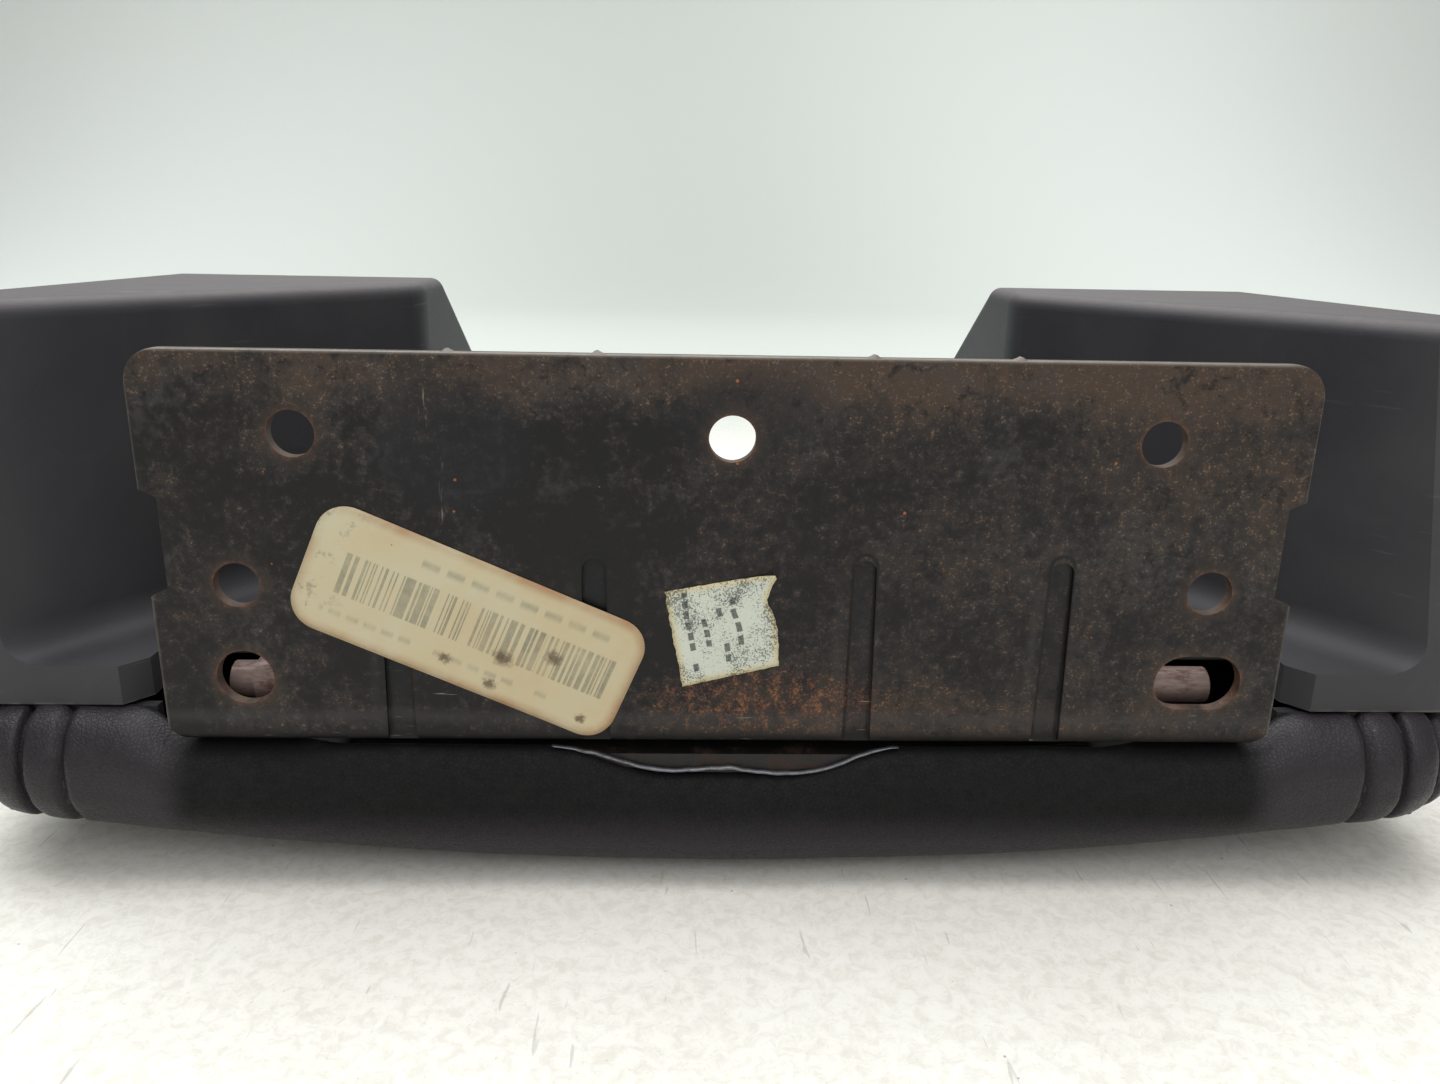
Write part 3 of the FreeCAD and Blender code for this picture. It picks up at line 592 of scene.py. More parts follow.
@dataclass(frozen=True)
class LabelPaper:
    """Yellowed adhesive paper with a faded bar block and two rows of faded dashes."""

    name: str = "label_paper"
    paper: Colour = shade(184, 182, 158)
    aged: Colour = shade(182, 158, 118)
    rust: Colour = shade(142, 98, 62)
    ink: Colour = shade(84, 88, 78)
    stain: Colour = shade(74, 54, 36)
    width: float = 65.0
    height: float = 25.0
    spots: tuple[tuple[float, float, float], ...] = (
        (49.5, 12.6, 2.4), (40.6, 8.6, 2.7), (30.8, 4.4, 1.7), (40.2, 2.9, 1.9), (58.8, 3.2, 1.4))

    def make(self) -> bpy.types.Material:
        """Build the material.

        Returns:
            The material, which reads the piece's own map.
        """
        g = Graph(self.name)
        u, v = g.uv()
        x, y = u * self.width, v * self.height
        fine = g.clouds(0.9, 3, 0.7)
        cloud = g.clouds(11, 3, 0.6, 0.5)
        tone = g.mix((cloud * 0.9 - 0.1 + u * 0.25).clamped(), self.paper, self.aged)
        rim = (x.lowest(self.width - x)).lowest(y.lowest(self.height - y))
        tone = g.mix(rim.rise(2.4, 0.1) * (cloud * 1.3 + u * 0.2 - 0.25).clamped(), tone, self.rust)
        bars = g.lot(x * 3.7, 3.0).rise(0.42, 0.48)
        block = x.rise(6.4, 6.8) * x.rise(61.0, 60.6) * y.rise(8.2, 8.5) * y.rise(16.8, 16.4)
        fade = (g.clouds(8, 3, 0.6, seat=(2, 6, 2)) * 1.5 + fine * 0.8 - 0.75).clamped()
        tone = g.mix(bars * block * (0.25 + fade * 0.6), tone, self.ink)
        wide, small = x * 0.205, x * 0.29
        upper = y.near(20.2, 1.25) * x.rise(18.5, 19.5) * x.rise(58.5, 57.5)
        upper = upper * wide.from_half().rise(0.38, 0.33)
        lower = g.lot(small, 5.0).rise(0.3, 0.35) * y.near(4.6, 1.0) * x.rise(5, 6) * x.rise(52, 51)
        lower = lower * small.from_half().rise(0.38, 0.31)
        tone = g.mix((upper + lower * 0.8).clamped() * (0.12 + fade * 0.45), tone, self.ink)
        for across, up, radius in self.spots:
            gap = ((x - across) ** 2.0 + ((y - up) * 1.25) ** 2.0) ** 0.5 + (fine - 0.5) * 3.2
            tone = g.mix(gap.rise(radius, radius * 0.25) * 0.8, tone, self.stain)
        tone = g.mix(g.specks(4.6, 0.2, 0.3) * 0.7, tone, self.stain)
        tone = g.mix(x.rise(12.0, 2.0) * g.clouds(2.2, 3, 0.7, seat=(7, 7, 7)).rise(0.56, 0.68) * 0.45,
                     tone, self.ink)
        return g.surface(Base_Color=tone, Roughness=0.55 + (fine - 0.5) * 0.3,
                         Normal=g.bump(fine + cloud, 0.05, 0.6), Specular_IOR_Level=0.4)


@dataclass(frozen=True)
class TapePaper:
    """Torn grey-green paper tape, peppered black, with a few faded dashes.

    Each of rows is a row of dashes: its place along U, its ends along V, its cells and its seed.
    """

    name: str = "tape_paper"
    paper: Colour = shade(190, 195, 184)
    edge: Colour = shade(190, 172, 120)
    ink: Colour = shade(34, 34, 34)
    rows: tuple[tuple[float, ...], ...] = (
        (0.17, 0.95, 0.1, 9.0, 2.0), (0.33, 0.9, 0.35, 9.0, 5.0),
        (0.5, 0.75, 0.15, 8.0, 8.0), (0.64, 0.8, 0.3, 7.0, 3.0))

    def make(self) -> bpy.types.Material:
        """Build the material.

        Returns:
            The material, which reads the piece's own map.
        """
        g = Graph(self.name)
        u, v = g.uv()
        fine = g.clouds(0.34, 3, 0.75)
        cloud = g.clouds(6, 2, seat=(5, 5, 1))
        tone = g.mix(u.lowest(1 - u).lowest(v.lowest(1 - v)).rise(0.09, 0.0) * 0.7, self.paper, self.edge)
        pepper = (fine * 0.7 + cloud * 0.4 + v * 0.03).rise(0.585, 0.64)
        tone = g.mix(pepper * 0.75, tone, self.ink)
        for across, high, low, count, seed in self.rows:
            step = v * count
            dash = g.lot(step, seed).rise(0.42, 0.46) * step.from_half().rise(0.4, 0.32)
            dash = dash * u.near(across, 0.045).rise(0.2, 0.5)
            dash = dash * v.rise(low, low + 0.02) * v.rise(high + 0.02, high)
            tone = g.mix(dash * (0.55 + fine * 0.5).clamped(), tone, self.ink)
        return g.surface(Base_Color=tone, Roughness=0.6, Normal=g.bump(fine, 0.05, 0.6))


@dataclass(frozen=True)
class TableTop:
    """Pale laminate table, finely speckled and scratched."""

    name: str = "table_top"
    base: Colour = shade(226, 224, 219)
    tint: Colour = shade(208, 205, 197)
    dark: Colour = shade(120, 112, 104)
    wall: Colour = shade(226, 229, 226)
    shaded: Colour = shade(162, 166, 162)

    def make(self) -> bpy.types.Material:
        """Build the material.

        Returns:
            The material.
        """
        g = Graph(self.name)
        x, y, _ = g.axes()
        broad = g.clouds(60, 4, 0.6)
        marbled = g.clouds(3.2, 5, 0.75, 0.6)
        tone = g.mix((marbled.rise(0.40, 0.66) * 0.75 + (broad - 0.4)).clamped(), self.base, self.tint)
        grit = g.clouds(0.8, 4, 0.8, 0.4, seat=(3, 3, 3)).rise(0.60, 0.74)
        near = y.rise(900.0, 300.0)
        tone = g.mix(grit * 0.4 * near, tone, self.dark)
        specks = g.specks(9.0, 0.36, 0.3).highest(g.specks(5.0, 0.2, 0.25, (5, 1, 1)))
        tone = g.mix(specks * 0.6 * near, tone, self.dark)
        scratches = g.clouds(1.6, 2, 0.5, 0.6, stretch=(1, 12, 1), seat=(8, 3, 1)).rise(0.70, 0.74)
        tone = g.mix(scratches * 0.3 * near, tone, self.dark)
        # Painted shade: a broad darker pool on the floor and wall behind the lid.
        shade_pool = x.near(0.0, 1300.0) * y.rise(150.0, 500.0) * y.rise(3600.0, 1700.0)
        tone = g.mix(shade_pool * 0.75, g.mix(near, self.wall, tone), self.shaded)
        return g.surface(Base_Color=tone, Roughness=0.75 + (marbled - 0.5) * 0.3, Specular_IOR_Level=0.12)


class Finish(Enum):
    """The finishes, by the part that wears them."""

    LEATHER = Leather()
    MOULDING = Moulding()
    TRAY = PlainMoulded("tray_black", shade(22, 22, 23), rough=0.6, marked=0.3)
    BRACKET = RustedCoat()
    # Dark coat colour, partly painted shade: it also stands for the shade under the bracket.
    LEAF = RustySteel("leaf_coat_and_shade", shade(24, 22, 21), shade(52, 34, 24), amount=0.5, metal=0.2, rough=0.55)
    CUT_EDGE = RustySteel("cut_edge", shade(112, 114, 120), shade(70, 56, 46), amount=0.4, rough=0.4,
                          metal=0.5)
    PIN = RustySteel("pin_steel", shade(122, 104, 99), shade(84, 60, 52), amount=0.55, rough=0.5, metal=0.4,
                     size=4.0, drawn=(5, 1, 1))
    RING = RustySteel("ring_steel", shade(84, 80, 78), amount=0.4)
    SPRING = RustySteel("spring_steel", shade(92, 90, 90), amount=0.4, rough=0.32)
    SCREW = RustySteel("screw_zinc", shade(120, 118, 112), amount=0.35, rough=0.34, size=3.0)
    NYLON = PlainMoulded("bush_nylon", shade(198, 190, 170), shade(120, 104, 84), rough=0.4)
    LATCH = PlainMoulded("latch_satin", shade(17, 17, 19), rough=0.3, marked=0.15)
    RUBBER = PlainMoulded("stop_rubber", shade(20, 20, 20), rough=0.78, marked=0.35)
    THREAD = PlainMoulded("seam_thread", shade(34, 30, 36), shade(70, 66, 70), rough=0.7, grain=0.3)
    LABEL = LabelPaper()
    TAPE = TapePaper()
    TABLE = TableTop()

    def material(self) -> bpy.types.Material:
        """The finish's material, built the first time that it is asked for."""
        made = bpy.data.materials.get(self.value.name)
        return made or self.value.make()


# ---------------------------------------------------------------- mesh writing

def linked(name: str, data: bpy.types.ID) -> bpy.types.Object:
    """Link a new object to the scene.

    Args:
        name: its name.
        data: what it shows.

    Returns:
        The object.
    """
    made = bpy.data.objects.new(name, data)
    bpy.context.scene.collection.objects.link(made)
    return made


def solid(name: str, points: Sequence[Sequence[float]], faces: Sequence[Sequence[int]],
          finish: Finish | None = None, smooth: bool = True) -> bpy.types.Object:
    """A mesh object from points in millimetres.

    Args:
        name: the piece's name.
        points: its vertices.
        faces: its faces, as vertex numbers.
        finish: what it wears.
        smooth: whether its faces are shaded smooth.

    Returns:
        The object, linked to the scene.
    """
    mesh = bpy.data.meshes.new(name)
    mesh.from_pydata((np.asarray(points, float) * MM).tolist(), [], [list(face) for face in faces])
    mesh.polygons.foreach_set("use_smooth", [smooth] * len(mesh.polygons))
    if finish:
        mesh.materials.append(finish.material())
    return linked(name, mesh)


def tube(rings: int, sides: int) -> list[tuple[int, ...]]:
    """The faces that join rings of points to the next ring.

    Args:
        rings: how many rings follow one another.
        sides: how many points each has.

    Returns:
        The faces, as vertex numbers.
    """
    return [(i * sides + k, (i + 1) * sides + k,
             (i + 1) * sides + (k + 1) % sides, i * sides + (k + 1) % sides)
            for i in range(rings - 1) for k in range(sides)]


def border(wide: int, tall: int) -> list[int]:
    """The outer points of a grid.

    Args:
        wide: how many points a row has.
        tall: how many rows there are.

    Returns:
        Their numbers, in order round the grid.
    """
    there = list(range(wide)) + [r * wide + wide - 1 for r in range(1, tall)]
    back = [(tall - 1) * wide + c for c in range(wide - 2, -1, -1)]
    return there + back + [r * wide for r in range(tall - 2, 0, -1)]


def outward(piece: bpy.types.Object) -> bpy.types.Object:
    """Merge the piece's doubles and turn its faces outwards.

    Args:
        piece: the piece.

    Returns:
        The same piece.
    """
    mesh = bmesh.new()
    mesh.from_mesh(piece.data)
    bmesh.ops.remove_doubles(mesh, verts=mesh.verts, dist=1e-7)
    bmesh.ops.recalc_face_normals(mesh, faces=mesh.faces)
    mesh.to_mesh(piece.data)
    mesh.free()
    return piece


def placed(piece: bpy.types.Object, body: str, slot: str, *nodes: str) -> bpy.types.Object:
    """Fix a finished piece to its body.

    Args:
        piece: the piece.
        body: the body that it moves with.
        slot: the material slot's name; not used.
        nodes: the CAD nodes that it stands for.

    Returns:
        The piece.
    """
    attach(piece, body)
    if nodes:
        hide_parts(*nodes)
    LOG.info("%s: %d faces on %s", piece.name, len(piece.data.polygons), body)
    return piece


def dress(node: str, finish: Finish) -> None:
    """Give a carried-over CAD node its finish.

    Args:
        node: the node's name.
        finish: what it wears.
    """
    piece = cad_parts[node]
    piece.data.materials.clear()
    piece.data.materials.append(finish.material())
    LOG.info("%s: carried over in %s", node, finish.value.name)


def ripple(place: Sequence[float], size: float, seat: float = 0.0) -> float:
    """Smooth noise from about -1 to 1 at a place in millimetres, its waves about size across."""
    return noise.noise(Vector((place[0] / size + seat, place[1] / size - seat, place[2] / size + seat * 0.5)))


class Repeater:
    """Geometry Nodes trees that set copies of one small mesh along lines or at spots."""

    def __init__(self, name: str, along: bool) -> None:
        """Build the tree.

        Args:
            name: the tree's name.
            along: True to follow the carrier's edges at a pitch, False to use its points.
        """
        self.tree = bpy.data.node_groups.new(name, "GeometryNodeTree")
        face = self.tree.interface
        face.new_socket("Carrier", in_out="INPUT", socket_type="NodeSocketGeometry")
        self.keys = {label: face.new_socket(label, in_out="INPUT", socket_type=kind).identifier
                     for label, kind in (("Copy", "NodeSocketObject"), ("Pitch", "NodeSocketFloat"),
                                         ("Turn", "NodeSocketFloat"), ("Seed", "NodeSocketInt"),
                                         ("Finish", "NodeSocketMaterial"))}
        face.new_socket("Copies", in_out="OUTPUT", socket_type="NodeSocketGeometry")
        start = self.add("NodeGroupInput")
        spots = self.spots(start, along)
        first = self.add("FunctionNodeAlignRotationToVector", {"axis": "Z"})
        self.join(self.named("away", "FLOAT_VECTOR"), first.inputs["Vector"])
        second = self.add("FunctionNodeAlignRotationToVector", {"axis": "X", "pivot_axis": "Z"})
        self.join(first.outputs["Rotation"], second.inputs["Rotation"])
        self.join(self.named("along", "FLOAT_VECTOR"), second.inputs["Vector"])
        spin = self.add("FunctionNodeRandomValue", {"data_type": "FLOAT"})
        self.join(start.outputs["Seed"], spin.inputs["Seed"])
        span = self.add("ShaderNodeMath", {"operation": "MULTIPLY"})
        self.join(start.outputs["Turn"], span.inputs[0])
        span.inputs[1].default_value = -1.0
        self.join(span.outputs[0], spin.inputs[2])
        self.join(start.outputs["Turn"], spin.inputs[3])
        angle = self.add("ShaderNodeCombineXYZ")
        self.join(spin.outputs[1], angle.inputs["Z"])
        euler = self.add("FunctionNodeEulerToRotation")
        self.join(angle.outputs[0], euler.inputs[0])
        turned = self.add("FunctionNodeRotateRotation", {"rotation_space": "LOCAL"})
        self.join(second.outputs["Rotation"], turned.inputs["Rotation"])
        self.join(euler.outputs[0], turned.inputs["Rotate By"])
        copy = self.add("GeometryNodeObjectInfo")
        self.join(start.outputs["Copy"], copy.inputs["Object"])
        copies = self.add("GeometryNodeInstanceOnPoints")
        self.join(spots, copies.inputs["Points"])
        self.join(copy.outputs["Geometry"], copies.inputs["Instance"])
        self.join(turned.outputs[0], copies.inputs["Rotation"])
        real = self.add("GeometryNodeRealizeInstances")
        self.join(copies.outputs[0], real.inputs[0])
        coat = self.add("GeometryNodeSetMaterial")
        self.join(real.outputs[0], coat.inputs["Geometry"])
        self.join(start.outputs["Finish"], coat.inputs["Material"])
        end = self.add("NodeGroupOutput")
        self.join(coat.outputs[0], end.inputs[0])

    def add(self, kind: str, settings: dict | None = None) -> bpy.types.Node:
        """A node of this tree.

        Args:
            kind: the node's type.
            settings: its properties.

        Returns:
            The node.
        """
        made = self.tree.nodes.new(kind)
        for key, value in (settings or {}).items():
            setattr(made, key, value)
        return made

    def join(self, source: bpy.types.NodeSocket, target: bpy.types.NodeSocket) -> None:
        """Link two sockets."""
        self.tree.links.new(source, target)

    def named(self, name: str, kind: str) -> bpy.types.NodeSocket:
        """A stored attribute.

        Args:
            name: the attribute's name.
            kind: its data type.

        Returns:
            The node's output.
        """
        made = self.add("GeometryNodeInputNamedAttribute", {"data_type": kind})
        made.inputs["Name"].default_value = name
        return made.outputs["Attribute"]

    def spots(self, start: bpy.types.Node, along: bool) -> bpy.types.NodeSocket:
        """The points that the copies go on.

        Args:
            start: the tree's input node.
            along: True to follow the carrier's edges, False to use its points.

        Returns:
            The output with the points.
        """
        if not along:
            made = self.add("GeometryNodeMeshToPoints")
            self.join(start.outputs["Carrier"], made.inputs["Mesh"])
            return made.outputs[0]
        line = self.add("GeometryNodeMeshToCurve")
        self.join(start.outputs["Carrier"], line.inputs["Mesh"])
        even = self.add("GeometryNodeResampleCurve", {"mode": "LENGTH"})
        self.join(line.outputs[0], even.inputs["Curve"])
        self.join(start.outputs["Pitch"], even.inputs["Length"])
        return even.outputs[0]

    def run(self, name: str, runs: Sequence[tuple[np.ndarray, np.ndarray, np.ndarray]],
            copy: bpy.types.Object, finish: Finish, pitch: float = 1.0, turn: float = 0.0,
            seed: int = 1) -> bpy.types.Object:
        """Set the copies and make one plain mesh of them.

        Args:
            name: the finished piece's name.
            runs: for each line or set of spots, its points in millimetres, the direction away
                from the surface at each, and the direction along it.
            copy: the object that is repeated, which is removed afterwards.
            finish: what the copies wear.
            pitch: millimetres from one copy to the next on a line.
            turn: the largest turn of a copy about its own Z, in radians.
            seed: the seed of those turns.

        Returns:
            The plain mesh's object.
        """
        points, away, along, edges = [], [], [], []
        for line, outs, ways in runs:
            base = len(points)
            points.extend((np.asarray(line) * MM).tolist())
            away.extend(np.asarray(outs, float).tolist())
            along.extend(np.asarray(ways, float).tolist())
            edges.extend((base + i, base + i + 1) for i in range(len(line) - 1))
        mesh = bpy.data.meshes.new(name + "_carrier")
        mesh.from_pydata(points, edges, [])
        for label, values in (("away", away), ("along", along)):
            stored = mesh.attributes.new(label, "FLOAT_VECTOR", "POINT")
            stored.data.foreach_set("vector", np.asarray(values, np.float32).ravel())
        carrier = linked(name + "_carrier", mesh)
        modifier = carrier.modifiers.new("repeat", "NODES")
        modifier.node_group = self.tree
        for label, value in (("Copy", copy), ("Pitch", pitch * MM), ("Turn", turn), ("Seed", seed),
                             ("Finish", finish.material())):
            modifier[self.keys[label]] = value
        shown = carrier.evaluated_get(bpy.context.evaluated_depsgraph_get())
        plain = bpy.data.meshes.new_from_object(shown)
        carrier.modifiers.clear()
        for spare in (carrier, copy):
            bpy.data.objects.remove(spare)
        plain.name = name
        return linked(name, plain)


# ---------------------------------------------------------------- padded top

def spaced(*spans: tuple[float, float, float]) -> np.ndarray:
    """Stations from 0 outwards, and the same mirrored.

    Args:
        spans: each one's start, end and pitch.

    Returns:
        The stations in order.
    """
    half = np.concatenate([np.linspace(a, b, max(2, int(round((b - a) / pitch)) + 1))[:-1]
                           for a, b, pitch in spans] + [[spans[-1][1]]])
    return np.concatenate([-half[:0:-1], half])


def blend_step(value: np.ndarray, low: float, high: float) -> np.ndarray:
    """A smooth step of an array from 0 at low to 1 at high."""
    part = np.clip((value - low) / (high - low), 0, 1)
    return part * part * (3 - 2 * part)


@dataclass
class PaddedTop:
    """Foam and sewn leather round the tray: crowned face, rolled sides, folded-in top edge.

    Sizes are millimetres. Each of the steps is how much is added and between which distances from
    the middle it grows.
    """

    half_x: float = 161.6
    half_y: float = 127.6
    corner: float = 24.0
    roll: float = 10.5
    fold_high: float = 13.0
    fold_deep: float = 7.8
    fold_tight: float = 4.3
    tight_steps: tuple[tuple[float, float, float], ...] = ((3.5, 76.0, 90.0),)
    end_zone: float = 100.0
    side_top: float = 36.8
    rear_top: float = 24.2
    rear_steps: tuple[tuple[float, float, float], ...] = ((6.0, 12.0, 34.0), (6.6, 108.0, 118.0))
    front_top: float = 22.3
    front_steps: tuple[tuple[float, float, float], ...] = ((8.1, 26.0, 30.0), (6.3, 74.0, 80.0))
    crown_across: float = 900.0
    crown_along: float = 2300.0
    sunk: float = 1.5
    bulge: float = 1.3
    reach: float = 36.0
    inner_floor: float = 17.5
    seams: tuple[float, ...] = (131.0, 139.0, 147.0)
    seam_middle: float = 138.0
    valley: float = 1.35
    valley_width: float = 0.72
    pillow: float = 0.5
    swell: float = 2.2
    voxel: float = 5.0
    frames: int = 20
    cloth: tuple[tuple[str, float], ...] = (
        ("quality", 6), ("mass", 0.35), ("tension_stiffness", 22), ("compression_stiffness", 22),
        ("bending_stiffness", 1.2), ("use_pressure", True), ("uniform_pressure_force", 4.0))
    carriers: int = 10
    stitch: float = 2.5
    pitch: float = 3.9
    rested: np.ndarray = field(default_factory=lambda: np.zeros((0, 3)))
    shifts: np.ndarray = field(default_factory=lambda: np.zeros((0, 3)))

    @staticmethod
    def stepped(x: np.ndarray, start: float, steps: Sequence[tuple[float, float, float]]) -> np.ndarray:
        """A size that grows in smooth steps from the middle outwards.

        Args:
            x: places along X.
            start: the size in the middle.
            steps: how much is added, and between which distances.

        Returns:
            The size at each place.
        """
        made = np.full_like(x, start)
        for more, low, high in steps:
            made = made + more * blend_step(np.abs(x), low, high)
        return made

    def top(self, x: np.ndarray, y: np.ndarray) -> np.ndarray:
        """How high the folded edge stands.

        Args:
            x: places on the outline along X.
            y: the same places along Y.

        Returns:
            Its height at each place.
        """
        rear = self.stepped(x, self.rear_top, self.rear_steps)
        front = self.stepped(x, self.front_top, self.front_steps)
        return np.where(y < -self.end_zone, rear, np.where(y > self.end_zone, front, self.side_top))

    def fold_in(self, x: np.ndarray, y: np.ndarray) -> np.ndarray:
        """How far in from the outline the folded edge ends; it is tight under the bracket."""
        tight = self.stepped(x, self.fold_tight, self.tight_steps)
        return np.where(y < -self.end_zone, tight, self.fold_deep)

    def fold_rise(self, x: np.ndarray, y: np.ndarray) -> np.ndarray:
        """How much of the side the folded edge's curve takes up."""
        return np.minimum(self.fold_high, self.top(x, y) - self.crown(x, y) - self.roll - 1.0)

    def crown(self, x: np.ndarray, y: np.ndarray) -> np.ndarray:
        """The face's height where nothing presses on it."""
        return np.maximum(x ** 2 / (2 * self.crown_across) + y ** 2 / (2 * self.crown_along) - self.sunk, 0.0)

    def wrap(self, base: np.ndarray, way: np.ndarray, span: np.ndarray) -> tuple[np.ndarray, np.ndarray]:
        """Bend flat places round the edge.

        Args:
            base: (n, 2) the straight zone's nearest points.
            way: (n, 2) unit directions outwards.
            span: (n) distance from base: to the flat's edge it is flat, then it is a share of the wall.

        Returns:
            The places and the directions away from the surface, both (n, 3).
        """
        flat = self.corner - self.roll
        share = np.clip((span - flat) / self.reach, 0, 1)
        edge = base + way * flat
        outline = base + way * self.corner
        low = self.crown(edge[:, 0], edge[:, 1])
        rise = self.fold_rise(outline[:, 0], outline[:, 1])
        high = self.top(outline[:, 0], outline[:, 1]) - rise
        arc = self.roll * math.pi / 2
        run = share * (arc + np.maximum(high - low - self.roll, 0.5))
        angle = np.minimum(run / self.roll, math.pi / 2)
        rolled = span > flat
        out = np.where(rolled, flat + self.roll * np.sin(angle), span)
        up = low + self.roll * (1 - np.cos(angle)) + np.maximum(run - arc, 0)
        belly = np.sin(np.clip((up - low) / np.maximum(high + rise * 0.2 - low, 1), 0, 1) * math.pi / 2) ** 2
        place = base + way * (out + np.where(rolled, belly * self.bulge, 0))[:, None]
        z = np.where(rolled, up, self.crown(place[:, 0], place[:, 1]))
        sine = np.where(rolled, np.sin(angle), 0.0)
        away = np.column_stack([way * sine[:, None], -np.where(rolled, np.cos(angle), 1.0)])
        return np.column_stack([place, z]), away

    def stations(self, gx: np.ndarray, gy: np.ndarray) -> tuple[np.ndarray, np.ndarray, np.ndarray]:
        """Where each place of a square grid lies on the rounded outline's fan.

        Args:
            gx: the grid's places along X.
            gy: the grid's places along Y.

        Returns:
            The straight zone's nearest point, the direction outwards and the distance.
        """
        sx, sy = self.half_x - self.corner, self.half_y - self.corner
        size = self.corner - self.roll + self.reach
        ax, ay = np.maximum(np.abs(gx) - sx, 0) / size, np.maximum(np.abs(gy) - sy, 0) / size
        most = np.maximum(np.maximum(ax, ay), 1e-12)
        turn = np.where(ax >= ay, math.pi / 4 * ay / most, math.pi / 2 - math.pi / 4 * ax / most)
        way = np.column_stack([np.sign(gx + 1e-9) * np.cos(turn), np.sign(gy + 1e-9) * np.sin(turn)])
        base = np.column_stack([np.sign(place) * np.minimum(np.abs(place), reach)
                                for place, reach in ((gx, sx), (gy, sy))])
        return base, way, most * size

    def closed_form(self, fine: bool) -> tuple[np.ndarray, np.ndarray, list[tuple[int, ...]], int]:
        """The whole closed pad.

        Args:
            fine: True for the finished mesh, False for the simulated copy.

        Returns:
            Its points, the directions away from it, its faces, and how many points are leather.
        """
        end_x = self.half_x - self.roll + self.reach
        end_y = self.half_y - self.roll + self.reach
        step, tight = (3.4, 0.85) if fine else (6.0, 5.0)
        cols = spaced((0, 122, step), (122, 156, tight), (156, end_x, 1.6 if fine else 5.0))
        rows = spaced((0, self.half_y - 26, step), (self.half_y - 26, end_y, 1.25 if fine else 5.0))
        gx, gy = (part.ravel() for part in np.meshgrid(cols, rows))
        base, way, span = self.stations(gx, gy)
        points, away = self.wrap(base, way, span)
        wide, tall = len(cols), len(rows)
        faces = [(r * wide + c, (r + 1) * wide + c, (r + 1) * wide + c + 1, r * wide + c + 1)
                 for r in range(tall - 1) for c in range(wide - 1)]
        ring = border(wide, tall)
        rim, heading = points[ring], way[ring]
        layers, outs = [points], [away]
        depth = (self.fold_in(rim[:, 0], rim[:, 1]) + self.bulge)[:, None]
        rise = self.top(rim[:, 0], rim[:, 1]) - rim[:, 2]
        for angle in np.linspace(0, math.pi / 2, 15 if fine else 4)[1:]:
            shift = heading * depth * (math.cos(angle) - 1)
            layers.append(np.column_stack([rim[:, :2] + shift, rim[:, 2] + rise * math.sin(angle)]))
            outs.append(np.column_stack([heading * math.cos(angle), np.full(len(ring), math.sin(angle))]))
        inside = layers[-1].copy()
        inside[:, 2] = self.inner_floor
        layers.append(inside)
        outs.append(np.column_stack([-heading, np.zeros(len(ring))]))
        leather = len(points) + (len(layers) - 2) * len(ring)
        start, previous = len(points), ring
        for _ in layers[1:]:
            fresh = list(range(start, start + len(ring)))
            faces += [(previous[i], previous[i - 1], fresh[i - 1], fresh[i]) for i in range(len(ring))]
            start, previous = start + len(ring), fresh
        layers.append(np.array([[0.0, 0.0, self.inner_floor]]))
        outs.append(np.array([[0.0, 0.0, 1.0]]))
        faces += [(previous[i], previous[i - 1], start) for i in range(len(ring))]
        return np.vstack(layers), np.vstack(outs), faces, leather

    def seam_depth(self, points: np.ndarray) -> tuple[np.ndarray, np.ndarray]:
        """The seams' relief.

        Args:
            points: places on the surface.

        Returns:
            How far the surface goes in at each, and a mask of the valleys.
        """
        across = np.abs(points[:, 0])
        mask, puff = np.zeros(len(points)), np.zeros(len(points))
        for seam in self.seams:
            mask = np.maximum(mask, np.exp(-((across - seam) / self.valley_width) ** 2))
        for left, right in zip(self.seams, self.seams[1:]):
            mid, half = (left + right) / 2, (right - left) / 2
            puff += np.clip(1 - ((across - mid) / half) ** 2, 0, 1) ** 0.7
        inner = np.clip((across - self.seams[0] + 14) / 14, 0, 1) * (across < self.seams[0])
        outer = np.clip((self.seams[-1] + 12 - across) / 12, 0, 1) * (across > self.seams[-1])
        shoulder = (inner * inner + outer * outer) * 0.55
        depth = self.valley * mask - self.pillow * (puff + shoulder) * (1 - mask)
        return depth, mask

    def wrinkles(self, points: np.ndarray, away: np.ndarray) -> np.ndarray:
        """Small folds: puckers beside the seams, soft waves elsewhere.

        Args:
            points: places on the surface.
            away: the direction away from it at each.

        Returns:
            How far the surface stands out at each.
        """
        made = np.zeros(len(points))
        for i, (place, out) in enumerate(zip(points, away)):
            near = math.exp(-max(0.0, abs(abs(place[0]) - self.seam_middle) - 6) / 13)
            wall = 1 - abs(out[2])
            pucker = ripple((place[0] * 0.35, place[1], place[2]), 4.6, 3.1) * near * 0.42
            folds = ripple((place[0], place[1], place[2] * 0.22), 11.0, 8.7) * wall * (0.12 + near * 0.3)
            made[i] = pucker + folds + ripple(place, 34.0, 1.9) * 0.35 + ripple(place, 13.0, 5.3) * 0.08
        return made

